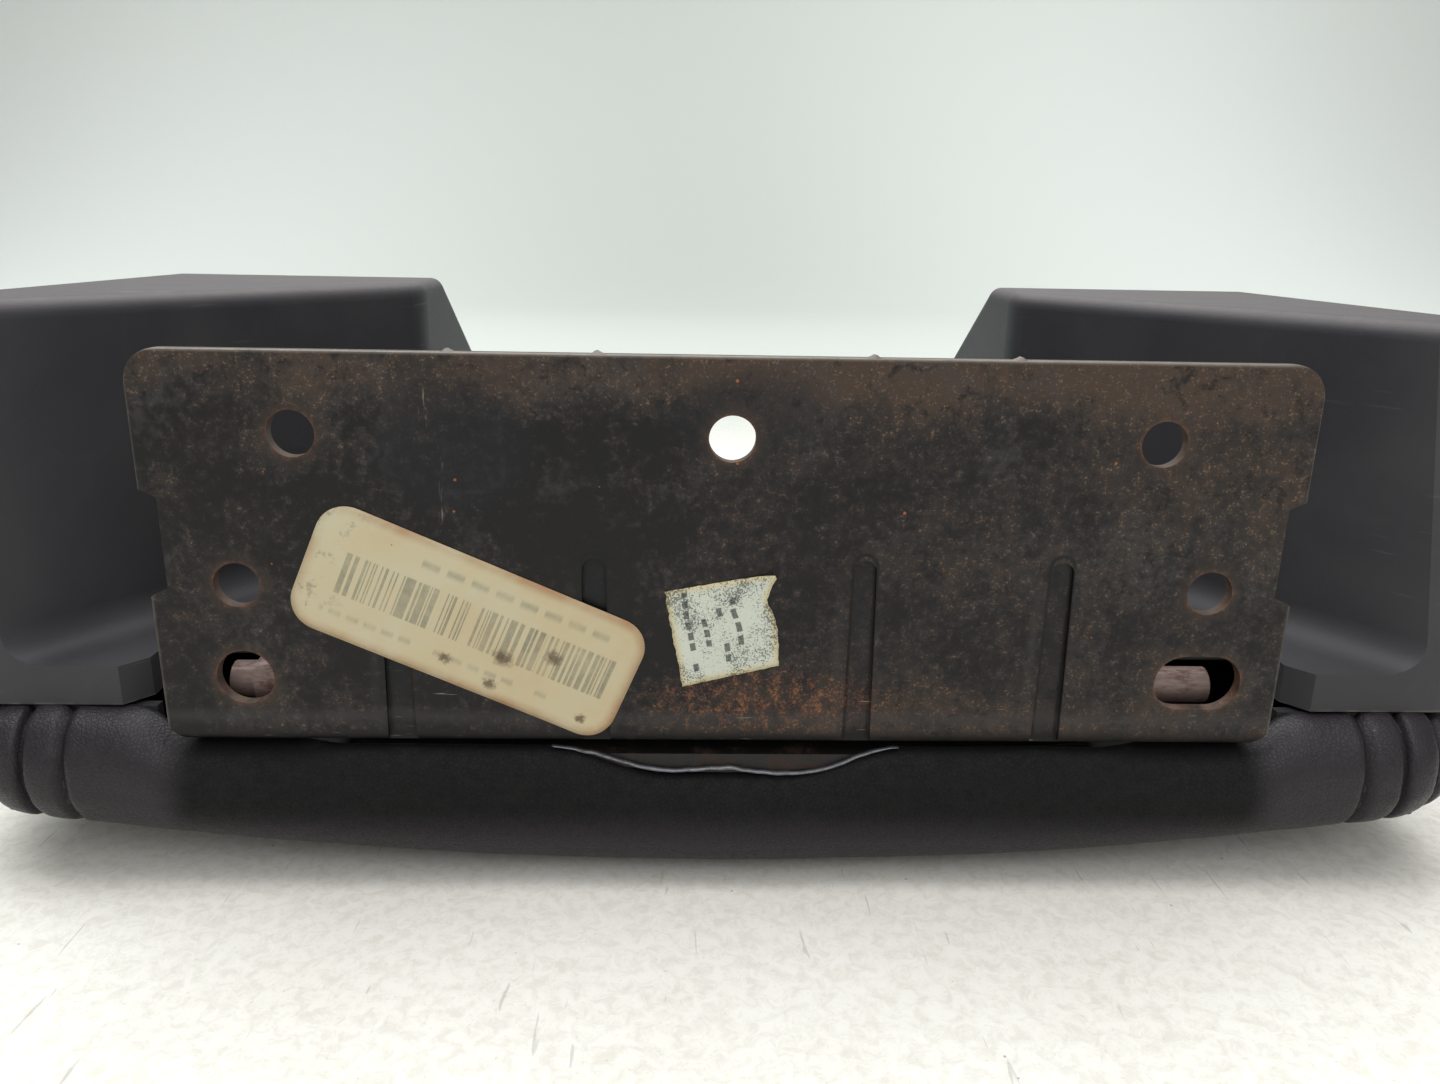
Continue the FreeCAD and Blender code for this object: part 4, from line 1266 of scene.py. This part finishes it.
    def pressed(self, points: np.ndarray, faces: list[tuple[int, ...]], leather: int) -> np.ndarray:
        """Blow the coarse copy up a little as cloth, held at its seams and its folded edge.

        Args:
            points: the coarse copy's points.
            faces: its faces.
            leather: how many of its points are leather.

        Returns:
            The remeshed copy's places and how far each moved, side by side (n, 6).
        """
        copy = outward(solid("pad_simulated", points, faces))
        remesh = copy.modifiers.new("even", "REMESH")
        remesh.mode, remesh.voxel_size = "VOXEL", self.voxel * MM
        even = bpy.data.meshes.new_from_object(copy.evaluated_get(bpy.context.evaluated_depsgraph_get()))
        copy.modifiers.clear()
        copy.data = even
        rest = np.array([v.co for v in even.vertices]) / MM
        inside = (np.abs(rest[:, 0]) < self.half_x - 5) & (np.abs(rest[:, 1]) < self.half_y - 5)
        held = np.abs(np.abs(rest[:, 0]) - self.seam_middle) < 9.5
        held |= inside & (rest[:, 2] > self.inner_floor - 6)
        held |= rest[:, 2] > self.top(rest[:, 0], rest[:, 1]) - 5.0
        group = copy.vertex_groups.new(name="held")
        group.add([int(i) for i in np.nonzero(held)[0]], 1.0, "REPLACE")
        cloth = copy.modifiers.new("swell", "CLOTH")
        for key, value in self.cloth:
            setattr(cloth.settings, key, value)
        cloth.settings.vertex_group_mass = "held"
        cloth.settings.effector_weights.gravity = 0.0
        cloth.collision_settings.use_collision = False
        scene = bpy.context.scene
        scene.frame_start, scene.frame_end = 1, self.frames
        for number in range(1, self.frames + 1):
            scene.frame_set(number)
        shown = copy.evaluated_get(bpy.context.evaluated_depsgraph_get())
        moved = np.array([v.co for v in shown.data.vertices]) / MM - rest
        scene.frame_set(1)
        far = np.linalg.norm(moved, axis=1)
        LOG.info("pad_simulated: %d points, moved %.1f mm on average, %.1f at most",
                 len(rest), far.mean(), far.max())
        moved *= (np.minimum(far, self.swell) / np.maximum(far, 1e-9))[:, None]
        bpy.data.objects.remove(copy)
        return np.column_stack([rest, moved])

    @staticmethod
    def nearest(places: np.ndarray) -> kdtree.KDTree:
        """Make a search tree.

        Args:
            places: the places in it (n, 3).

        Returns:
            The tree, ready for use.
        """
        tree = kdtree.KDTree(len(places))
        for i, place in enumerate(places):
            tree.insert(place, i)
        tree.balance()
        return tree

    def carried(self, points: np.ndarray, moves: np.ndarray) -> np.ndarray:
        """The simulated movement at the fine mesh's points, averaged from the nearest ones.

        Args:
            points: the fine mesh's points.
            moves: the simulated copy's places and movements, side by side (n, 6).

        Returns:
            How far each point moves (n, 3).
        """
        tree = self.nearest(moves[:, :3])
        made = np.zeros((len(points), 3))
        for i, place in enumerate(points):
            near = tree.find_n(place, self.carriers)
            weights = np.array([1 / (gap + 2.0) ** 2 for _, _, gap in near])
            made[i] = weights @ moves[[index for _, index, _ in near], 3:] / weights.sum()
        return made

    def lift(self, points: np.ndarray, away: np.ndarray) -> tuple[np.ndarray, np.ndarray]:
        """Put the seams and wrinkles on.

        Args:
            points: places on the surface.
            away: the direction away from it at each.

        Returns:
            The moved places and the mask of the seams' valleys.
        """
        depth, mask = self.seam_depth(points)
        rise = self.wrinkles(points, away) - depth
        moved = points + away * rise[:, None]
        return moved, mask

    def seam_line(self, seam: float, side: int, count: int = 420) -> tuple[np.ndarray, ...]:
        """A line along one seam, from the rear fold across the face to the front fold.

        Args:
            seam: the seam's distance from the middle.
            side: -1 for the left, 1 for the right.
            count: how many points.

        Returns:
            Places on the undented surface, directions away from it and along the line.
        """
        sx, sy = self.half_x - self.corner, self.half_y - self.corner
        flat = self.corner - self.roll
        far = sy + flat + self.reach * 0.97
        y = np.linspace(-far, far, count)
        over = max(seam - sx, 0.0)
        span = np.maximum(np.abs(y) - sy, over)
        share = np.clip((span - flat) / self.reach, 0, 1)
        out = np.where(span > flat, flat + self.roll * np.sin(np.minimum(share * 3.0, math.pi / 2)), span)
        lean = np.arcsin(np.clip(over / np.maximum(out, over + 1e-6), 0, 0.98))
        way = np.column_stack([side * np.sin(lean), np.sign(y) * np.cos(lean)])
        beyond = np.abs(y) > sy
        base = np.column_stack([np.full(count, side * min(seam, sx)), np.where(beyond, np.sign(y) * sy, y)])
        way[~beyond] = (side, 0.0)
        span = np.where(beyond, span, over)
        points, away = self.wrap(base, way, span)
        return points, away, np.gradient(points, axis=0)

    def make(self) -> bpy.types.Object:
        """Build the pad, simulated.

        Returns:
            The finished leather pad, standing for the CAD's soft solids.
        """
        points, away, faces, leather = self.closed_form(True)
        shift = np.zeros_like(points)
        coarse, _, coarse_faces, count = self.closed_form(False)
        shift[:leather] = self.carried(points[:leather], self.pressed(coarse, coarse_faces, count))
        self.rested, self.shifts = points[:leather].copy(), shift[:leather]
        moved, mask = self.lift(points[:leather], away[:leather])
        moved += shift[:leather]
        moved[:, 2] = np.maximum(moved[:, 2], 0.0)
        points[:leather] = moved
        pad = solid("padded_leather_top", points, faces, Finish.LEATHER)
        values = np.zeros(len(points), np.float32)
        values[:leather] = mask
        stored = pad.data.attributes.new("seam", "FLOAT", "POINT")
        stored.data.foreach_set("value", values)
        outward(pad)
        placed(pad, "lid", "leather", "cover_centre_panel", "cover_side_panel_left",
               "cover_side_panel_right", "foam_pad")
        return pad

    def stitched(self) -> bpy.types.Object:
        """Rows of thread in the first and last valley of each side.

        Returns:
            The rows, as one piece.
        """
        tree = self.nearest(self.rested)
        runs = []
        for seam in (self.seams[0], self.seams[-1]):
            for side in (-1, 1):
                line, away, along = self.seam_line(seam, side)
                moved, _ = self.lift(line, away)
                moved += np.array([self.shifts[tree.find(place)[1]] for place in line])
                moved += away * 0.16
                moved[:, 2] = np.maximum(moved[:, 2], 0.25)
                runs.append((moved, away, along))
        thread = self.stitch_mesh()
        made = Repeater("stitch_row", True).run("seam_stitches", runs, thread, Finish.THREAD, self.pitch)
        return placed(made, "lid", "leather")

    def stitch_mesh(self) -> bpy.types.Object:
        """One stitch: a short thread that rises from one hole and dips into the next.

        Returns:
            The stitch, along X with its rise along Z.
        """
        points, sides = [], 6
        stops = np.linspace(-1, 1, 6)
        for stop in stops:
            radius = 0.34 * math.sqrt(max(0.05, 1 - abs(stop) ** 3))
            height = 0.30 * (1 - stop * stop) - 0.12
            for k in range(sides):
                angle = 2 * math.pi * k / sides
                points.append((stop * self.stitch / 2, radius * math.cos(angle),
                               height + radius * math.sin(angle)))
        ends = [tuple(range(sides)), tuple(reversed(range(len(points) - sides, len(points))))]
        faces = tube(len(stops), sides) + ends
        return outward(solid("stitch", points, faces))


# ---------------------------------------------------------------- hinge bracket

@dataclass
class HingeBracket:
    """The pressed steel bracket with its label, its tape scrap and the burrs on its free edge.

    Sizes are millimetres; label_place and the tape's corners are (X, Z) on the bracket's face.
    """

    face_y: float = -126.0
    top: float = 109.0
    label_size: tuple[float, float] = (66.4, 25.9)
    label_round: float = 6.0
    label_tilt: float = -23.5
    label_place: tuple[float, float] = (-50.0, 57.0)
    paper: float = 0.16
    burrs: tuple[float, ...] = (-51.6, -24.6, 25.4, 52.2)

    def paper_sheet(self, name: str, outline: Callable[[float, float], tuple[float, float]],
                    columns: int, rows: int, finish: Finish,
                    lift: Callable[[float, float], float]) -> bpy.types.Object:
        """A thin closed sheet on the bracket's face with its own map.

        Args:
            name: the piece's name.
            outline: the place (X, Z) for a map place (u, v).
            columns: cells along u.
            rows: cells along v.
            finish: what it wears.
            lift: how far the paper stands off the steel at (u, v).

        Returns:
            The sheet.
        """
        spots = [(c / columns, r / rows) for r in range(rows + 1) for c in range(columns + 1)]
        front = [(*outline(u, v), self.face_y - 0.03 - self.paper - lift(u, v)) for u, v in spots]
        back = [(x, z, y + self.paper) for x, z, y in front]
        points = [(x, y, z) for x, z, y in front + back]
        wide, total = columns + 1, len(spots)
        faces = []
        for r in range(rows):
            for c in range(columns):
                a = r * wide + c
                faces.append((a, a + 1, a + wide + 1, a + wide))
                faces.append((total + a, total + a + wide, total + a + wide + 1, total + a + 1))
        ring = border(wide, rows + 1)
        faces += [(ring[i - 1], total + ring[i - 1], total + ring[i], ring[i]) for i in range(len(ring))]
        sheet = solid(name, points, faces, finish)
        layer = sheet.data.uv_layers.new(name="paper_map")
        uv = [spots[loop.vertex_index % total] for loop in sheet.data.loops]
        layer.data.foreach_set("uv", [part for pair in uv for part in pair])
        return outward(sheet)

    def label(self) -> bpy.types.Object:
        """The adhesive label: rounded corners, pressed on unevenly, one corner lifting.

        Returns:
            The label, standing for the CAD's plain one.
        """
        wide, high = self.label_size
        turn = math.radians(self.label_tilt)
        middle_x, middle_z = self.label_place

        def outline(u: float, v: float) -> tuple[float, float]:
            """A map place on the tilted, round-cornered label.

            Args:
                u: along the label.
                v: across it.

            Returns:
                The place (X, Z).
            """
            x, z = (u - 0.5) * wide, (v - 0.5) * high
            flat_x, flat_z = wide / 2 - self.label_round, high / 2 - self.label_round
            over_x, over_z = max(abs(x) - flat_x, 0), max(abs(z) - flat_z, 0)
            gap = math.hypot(over_x, over_z)
            if gap > 0 and over_x > 0 and over_z > 0:
                scale = max(over_x, over_z) / gap
                x = math.copysign(flat_x + over_x * scale, x)
                z = math.copysign(flat_z + over_z * scale, z)
            return (middle_x + x * math.cos(turn) - z * math.sin(turn),
                    middle_z + x * math.sin(turn) + z * math.cos(turn))

        def lift(u: float, v: float) -> float:
            """How far the label stands off the steel."""
            corner = max(0.0, u + (1 - v) - 1.72) * 3.0
            return 0.06 + 0.05 * ripple((u * wide, v * high, 0), 7.0) + corner ** 2 * 0.5

        sheet = self.paper_sheet("label_sheet", outline, 60, 28, Finish.LABEL, lift)
        return placed(sheet, "bracket", "label", "part_label")

    def tape(self) -> bpy.types.Object:
        """The torn scrap of tape: ragged ends, its upper right corner curling off.

        Returns:
            The scrap, standing for the CAD's plain one.
        """
        low_left, low_right = (-8.9, 44.3), (10.0, 48.9)
        high_left, high_right = (-12.5, 64.0), (8.8, 67.9)

        def outline(u: float, v: float) -> tuple[float, float]:
            """A map place between the scrap's four corners.

            Args:
                u: along the tape.
                v: across it.

            Returns:
                The place (X, Z).
            """
            places = [(a[0] + (b[0] - a[0]) * u, a[1] + (b[1] - a[1]) * u)
                      for a, b in ((low_left, low_right), (high_left, high_right))]
            x = places[0][0] + (places[1][0] - places[0][0]) * v
            z = places[0][1] + (places[1][1] - places[0][1]) * v
            ragged = 0.45 * ripple((0, v * 21, 5), 1.3) + 0.3 * ripple((0, v * 21, 9), 0.5)
            bite = -1.7 * math.exp(-((v - 0.72) / 0.16) ** 2) * u
            return x + ragged * (1 if u in (0.0, 1.0) else 0.0) + bite, z + 0.15 * ripple((u * 20, 0, v), 1.1)

        def lift(u: float, v: float) -> float:
            """How far the scrap stands off the steel."""
            curl = max(0.0, u + v - 1.72) * 4.5
            return 0.05 + 0.06 * ripple((u * 20, v * 20, 3), 4.0) + curl ** 2 * 0.9

        sheet = self.paper_sheet("tape_sheet", outline, 26, 26, Finish.TAPE, lift)
        return placed(sheet, "bracket", "tape", "tape_scrap")

    def burr(self) -> bpy.types.Object:
        """One sheared burr: a low ragged hump.

        Returns:
            The burr, its foot at the origin and its length along X.
        """
        profile = [(-1.9, 0.0), (-1.3, 0.18), (-0.8, 0.62), (-0.2, 0.78), (0.4, 0.42), (0.9, 0.2), (1.9, 0.0)]
        points = [(x, side * 0.72 * (1 - 0.45 * z), z - 0.12) for side in (-1, 1) for x, z in profile]
        count = len(profile)
        faces = [(i, i + 1, count + i + 1, count + i) for i in range(count - 1)]
        faces += [(0, count, 2 * count - 1, count - 1), tuple(range(count)), tuple(range(count, 2 * count))]
        return outward(solid("burr", points, faces))

    def burrs_on_edge(self) -> bpy.types.Object:
        """The four burrs that the press tool left along the free edge.

        Returns:
            The burrs, as one piece.
        """
        count = len(self.burrs)
        spots = np.array([(x, self.face_y + 1.0, self.top) for x in self.burrs])
        up = np.tile((0.0, 0.0, 1.0), (count, 1))
        side = np.array([(1.0 if x < 0 else -1.0, 0.0, 0.0) for x in self.burrs])
        made = Repeater("burrs", False).run("edge_burrs", [(spots, up, side)], self.burr(),
                                            Finish.BRACKET, turn=0.05, seed=4)
        return placed(made, "bracket", "bracket")

    def make(self) -> None:
        """Dress the bracket and put on its papers and burrs."""
        dress("hinge_plate", Finish.BRACKET)
        for node in ("hinge_bush_left", "hinge_bush_right"):
            dress(node, Finish.NYLON)
        self.label()
        self.tape()
        self.burrs_on_edge()


# ---------------------------------------------------------------- lid hardware

@dataclass
class LidHardware:
    """What is fixed to the lid: moulding, tray, hinge leaf and pin, springs, latch, stops, screws."""

    head_radius: float = 4.0
    head_height: float = 2.6
    recess: float = 1.5
    arm: float = 0.62
    apart: float = 9.0
    finishes: dict[str, Finish] = field(default_factory=lambda: {
        "moulded_underside": Finish.MOULDING, "pad_tray": Finish.TRAY, "hinge_leaf": Finish.LEAF,
        "hinge_pin": Finish.PIN, "retaining_ring": Finish.RING, "torsion_spring_left": Finish.SPRING,
        "torsion_spring_right": Finish.SPRING, "latch_bezel": Finish.LATCH, "latch_button": Finish.LATCH,
        "latch_hook": Finish.LATCH, "latch_guide": Finish.MOULDING, "latch_spring": Finish.SPRING,
        "rubber_stops": Finish.RUBBER})
    tongue: tuple[tuple[float, float], ...] = (
        (-35, 30.9), (-32, 30.5), (-28, 29.6), (-25, 28.9), (-20, 27.0), (-15, 25.7), (-10, 25.3),
        (-5, 25.8), (1, 26.2), (6, 25.2), (11, 24.8), (16, 25.0), (21, 26.0), (24, 27.4), (28, 29.3),
        (32, 30.6), (35, 30.9))
    tongue_y: float = -124.95

    def screw_head(self) -> bpy.types.Object:
        """A domed head with a cross recess.

        Returns:
            The head, its seat at the origin and its axis along Z.
        """
        rings = np.array([0.0, 0.35, 0.62, 0.95, 1.3, 1.7, 2.1, 2.6, 3.1, 3.6, 3.9, 4.0, 4.0]) / 4.0
        heights = np.array([1.0, 1.0, 1.0, 0.99, 0.98, 0.96, 0.93, 0.87, 0.78, 0.62, 0.42, 0.2, -0.25])
        sides, points = 48, []
        for share, height in zip(rings[1:], heights[1:]):
            for k in range(sides):
                angle = 2 * math.pi * k / sides
                x, y = self.head_radius * share * math.cos(angle), self.head_radius * share * math.sin(angle)
                cut = (min(abs(x), abs(y)) < self.arm) and max(abs(x), abs(y)) < 2.3
                depth = self.recess * max(0.25, 1 - math.hypot(x, y) / 3.2) if cut else 0.0
                points.append((x, y, self.head_height * height - depth))
        points.append((0, 0, self.head_height - self.recess))
        points.append((0, 0, -0.25 * self.head_height))
        layers = len(rings) - 1
        faces = tube(layers, sides)
        top, bottom, last = len(points) - 2, len(points) - 1, (layers - 1) * sides
        faces += [(top, k, (k + 1) % sides) for k in range(sides)]
        faces += [(bottom, last + (k + 1) % sides, last + k) for k in range(sides)]
        return outward(solid("screw_head", points, faces))

    def screw_spots(self, node: str) -> np.ndarray:
        """Where a node's screws sit, read from its mesh.

        Args:
            node: the node's name.

        Returns:
            The middle of each head's seat (n, 3).
        """
        corners = np.array([v.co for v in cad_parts[node].data.vertices]) / MM
        groups: list[list[np.ndarray]] = []
        for corner in corners:
            for group in groups:
                if math.dist(group[0][:2], corner[:2]) < self.apart:
                    group.append(corner)
                    break
            else:
                groups.append([corner])
        spots = []
        for group in groups:
            block = np.array(group)
            centre = (block[:, :2].min(0) + block[:, :2].max(0)) / 2
            spots.append((*centre, block[:, 2].max() - self.head_height))
        return np.array(spots)

    def screws(self, node: str, name: str, seed: int) -> bpy.types.Object:
        """Detailed heads in place of a node's plain screws.

        Args:
            node: the node that they stand for.
            name: the piece's name.
            seed: the seed of their turns.

        Returns:
            The heads, as one piece.
        """
        spots = self.screw_spots(node)
        up, side = (np.tile(way, (len(spots), 1)) for way in ((0.0, 0.0, 1.0), (1.0, 0.0, 0.0)))
        made = Repeater(name + "_tree", False).run(name, [(spots, up, side)], self.screw_head(),
                                                   Finish.SCREW, turn=math.pi, seed=seed)
        return placed(made, "lid", "screw", node)

    def tongue_edge(self) -> bpy.types.Object:
        """The bright, wavy sheared edge along the dip of the hinge leaf.

        Returns:
            The edge.
        """
        spots = np.array(self.tongue)
        even = np.linspace(spots[0, 0], spots[-1, 0], 90)
        line = np.interp(even, spots[:, 0], spots[:, 1])
        smooth = np.convolve(np.pad(line, 3, "edge"), np.ones(7) / 7, "valid")
        points, sides = [], 5
        for x, z in zip(even, smooth):
            wave = 0.14 * ripple((x, 0, 0), 2.3)
            thick = (0.3 + 0.1 * ripple((x, 4, 0), 3.0)) * (1 - 0.7 * (abs(x) / 35) ** 6)
            for dy, dz in ((-0.55, -thick), (-0.75, 0.0), (-0.5, thick), (0.35, thick), (0.35, -thick)):
                points.append((x, self.tongue_y + dy + wave, z + dz + wave))
        faces = tube(len(even), sides) + [tuple(range(sides)), tuple(range(len(points) - sides, len(points)))]
        edge = outward(solid("leaf_cut_edge", points, faces, Finish.CUT_EDGE))
        return placed(edge, "lid", "leaf")

    def make(self) -> None:
        """Dress the carried-over nodes and build the screws and the leaf's edge."""
        for node, finish in self.finishes.items():
            dress(node, finish)
        self.screws("moulding_screws", "moulding_screw_heads", 3)
        self.screws("leaf_screws", "leaf_screw_heads", 8)
        self.tongue_edge()


# ---------------------------------------------------------------- studio

@dataclass
class Studio:
    """A pale table that sweeps up into a pale wall, soft lights, and the camera."""

    eye: tuple[float, float, float] = (-8.0, -323.4, 131.0)
    pitch: float = 16.1
    yaw: float = 1.74
    roll: float = 1.07
    sensor: float = 36.0
    lens: float = 27.05
    sweep_start: float = 1500.0
    sweep_radius: float = 900.0

    def table(self) -> None:
        """The table and wall as one swept sheet."""
        line = [(-2600.0, 0.0), (self.sweep_start, 0.0)]
        line += [(self.sweep_start + self.sweep_radius * math.sin(a), self.sweep_radius * (1 - math.cos(a)))
                 for a in np.linspace(0, math.pi / 2, 24)[1:]]
        line.append((self.sweep_start + self.sweep_radius, 3600.0))
        points = [(x, y, z - 0.15) for y, z in line for x in (-4000.0, 4000.0)]
        faces = [(2 * i, 2 * i + 1, 2 * i + 3, 2 * i + 2) for i in range(len(line) - 1)]
        solid("table_sweep", points, faces, Finish.TABLE)

    def light(self, name: str, place: Sequence[float], aim: Sequence[float], size: tuple[float, float],
              power: float, colour: Colour = (1, 1, 1)) -> None:
        """One soft rectangular light.

        Args:
            name: its name.
            place: its middle, in millimetres.
            aim: where it points.
            size: its sides, in millimetres.
            power: in watts.
            colour: its colour.
        """
        data = bpy.data.lights.new(name, "AREA")
        data.shape, data.size, data.size_y = "RECTANGLE", size[0] * MM, size[1] * MM
        data.energy, data.color = power, colour
        lamp = linked(name, data)
        lamp.location = Vector(place) * MM
        lamp.rotation_euler = (Vector(aim) - Vector(place)).to_track_quat("-Z", "Y").to_euler()

    def lights(self) -> None:
        """Soft daylight from above and behind, weak fills above and in front, and a pale surround."""
        self.light("window", (-350, 650, 1750), (0, 150, 0), (2800, 1700), 58.0, (0.97, 1.0, 0.985))
        self.light("room", (250, -1500, 1150), (0, -60, 20), (2200, 1300), 17.0, (1.0, 0.99, 0.97))
        self.light("ceiling", (150, -380, 1700), (0, -60, 0), (1700, 1000), 15.0, (1.0, 0.99, 0.97))
        self.light("wall_wash", (0, 1250, 2600), (0, 2500, 900), (3200, 900), 9.0, (0.98, 1.0, 0.98))
        world = bpy.data.worlds.new("surround")
        world.use_nodes = True
        ground = world.node_tree.nodes["Background"]
        ground.inputs["Color"].default_value = (*shade(232, 236, 235), 1.0)
        ground.inputs["Strength"].default_value = 0.26
        bpy.context.scene.world = world

    def camera(self) -> None:
        """The camera, from its place, turns and focal length."""
        pitch, yaw, roll = (math.radians(part) for part in (self.pitch, self.yaw, self.roll))
        ahead = Vector((math.sin(yaw) * math.cos(pitch), math.cos(yaw) * math.cos(pitch), -math.sin(pitch)))
        right = Vector((math.cos(yaw), -math.sin(yaw), 0))
        up = right.cross(ahead)
        across = right * math.cos(roll) + up * math.sin(roll)
        above = up * math.cos(roll) - right * math.sin(roll)
        data = bpy.data.cameras.new("camera")
        data.sensor_width, data.lens = self.sensor, self.lens
        data.clip_start, data.clip_end = 0.01, 30.0
        eye = linked("camera", data)
        turned = Matrix((across, above, -ahead)).transposed().to_4x4()
        eye.matrix_world = Matrix.Translation(Vector(self.eye) * MM) @ turned
        bpy.context.scene.camera = eye

    def make(self) -> None:
        """Build the studio."""
        bpy.context.scene.view_settings.view_transform = "Standard"
        self.camera()
        self.table()
        self.lights()


def main() -> None:
    """Build every sub-assembly in order."""
    logging.basicConfig(level=logging.INFO, format="%(name)s %(message)s")
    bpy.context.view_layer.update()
    Studio().make()
    pad = PaddedTop()
    pad.make()
    pad.stitched()
    HingeBracket().make()
    LidHardware().make()


if __name__ == "__main__":
    main()
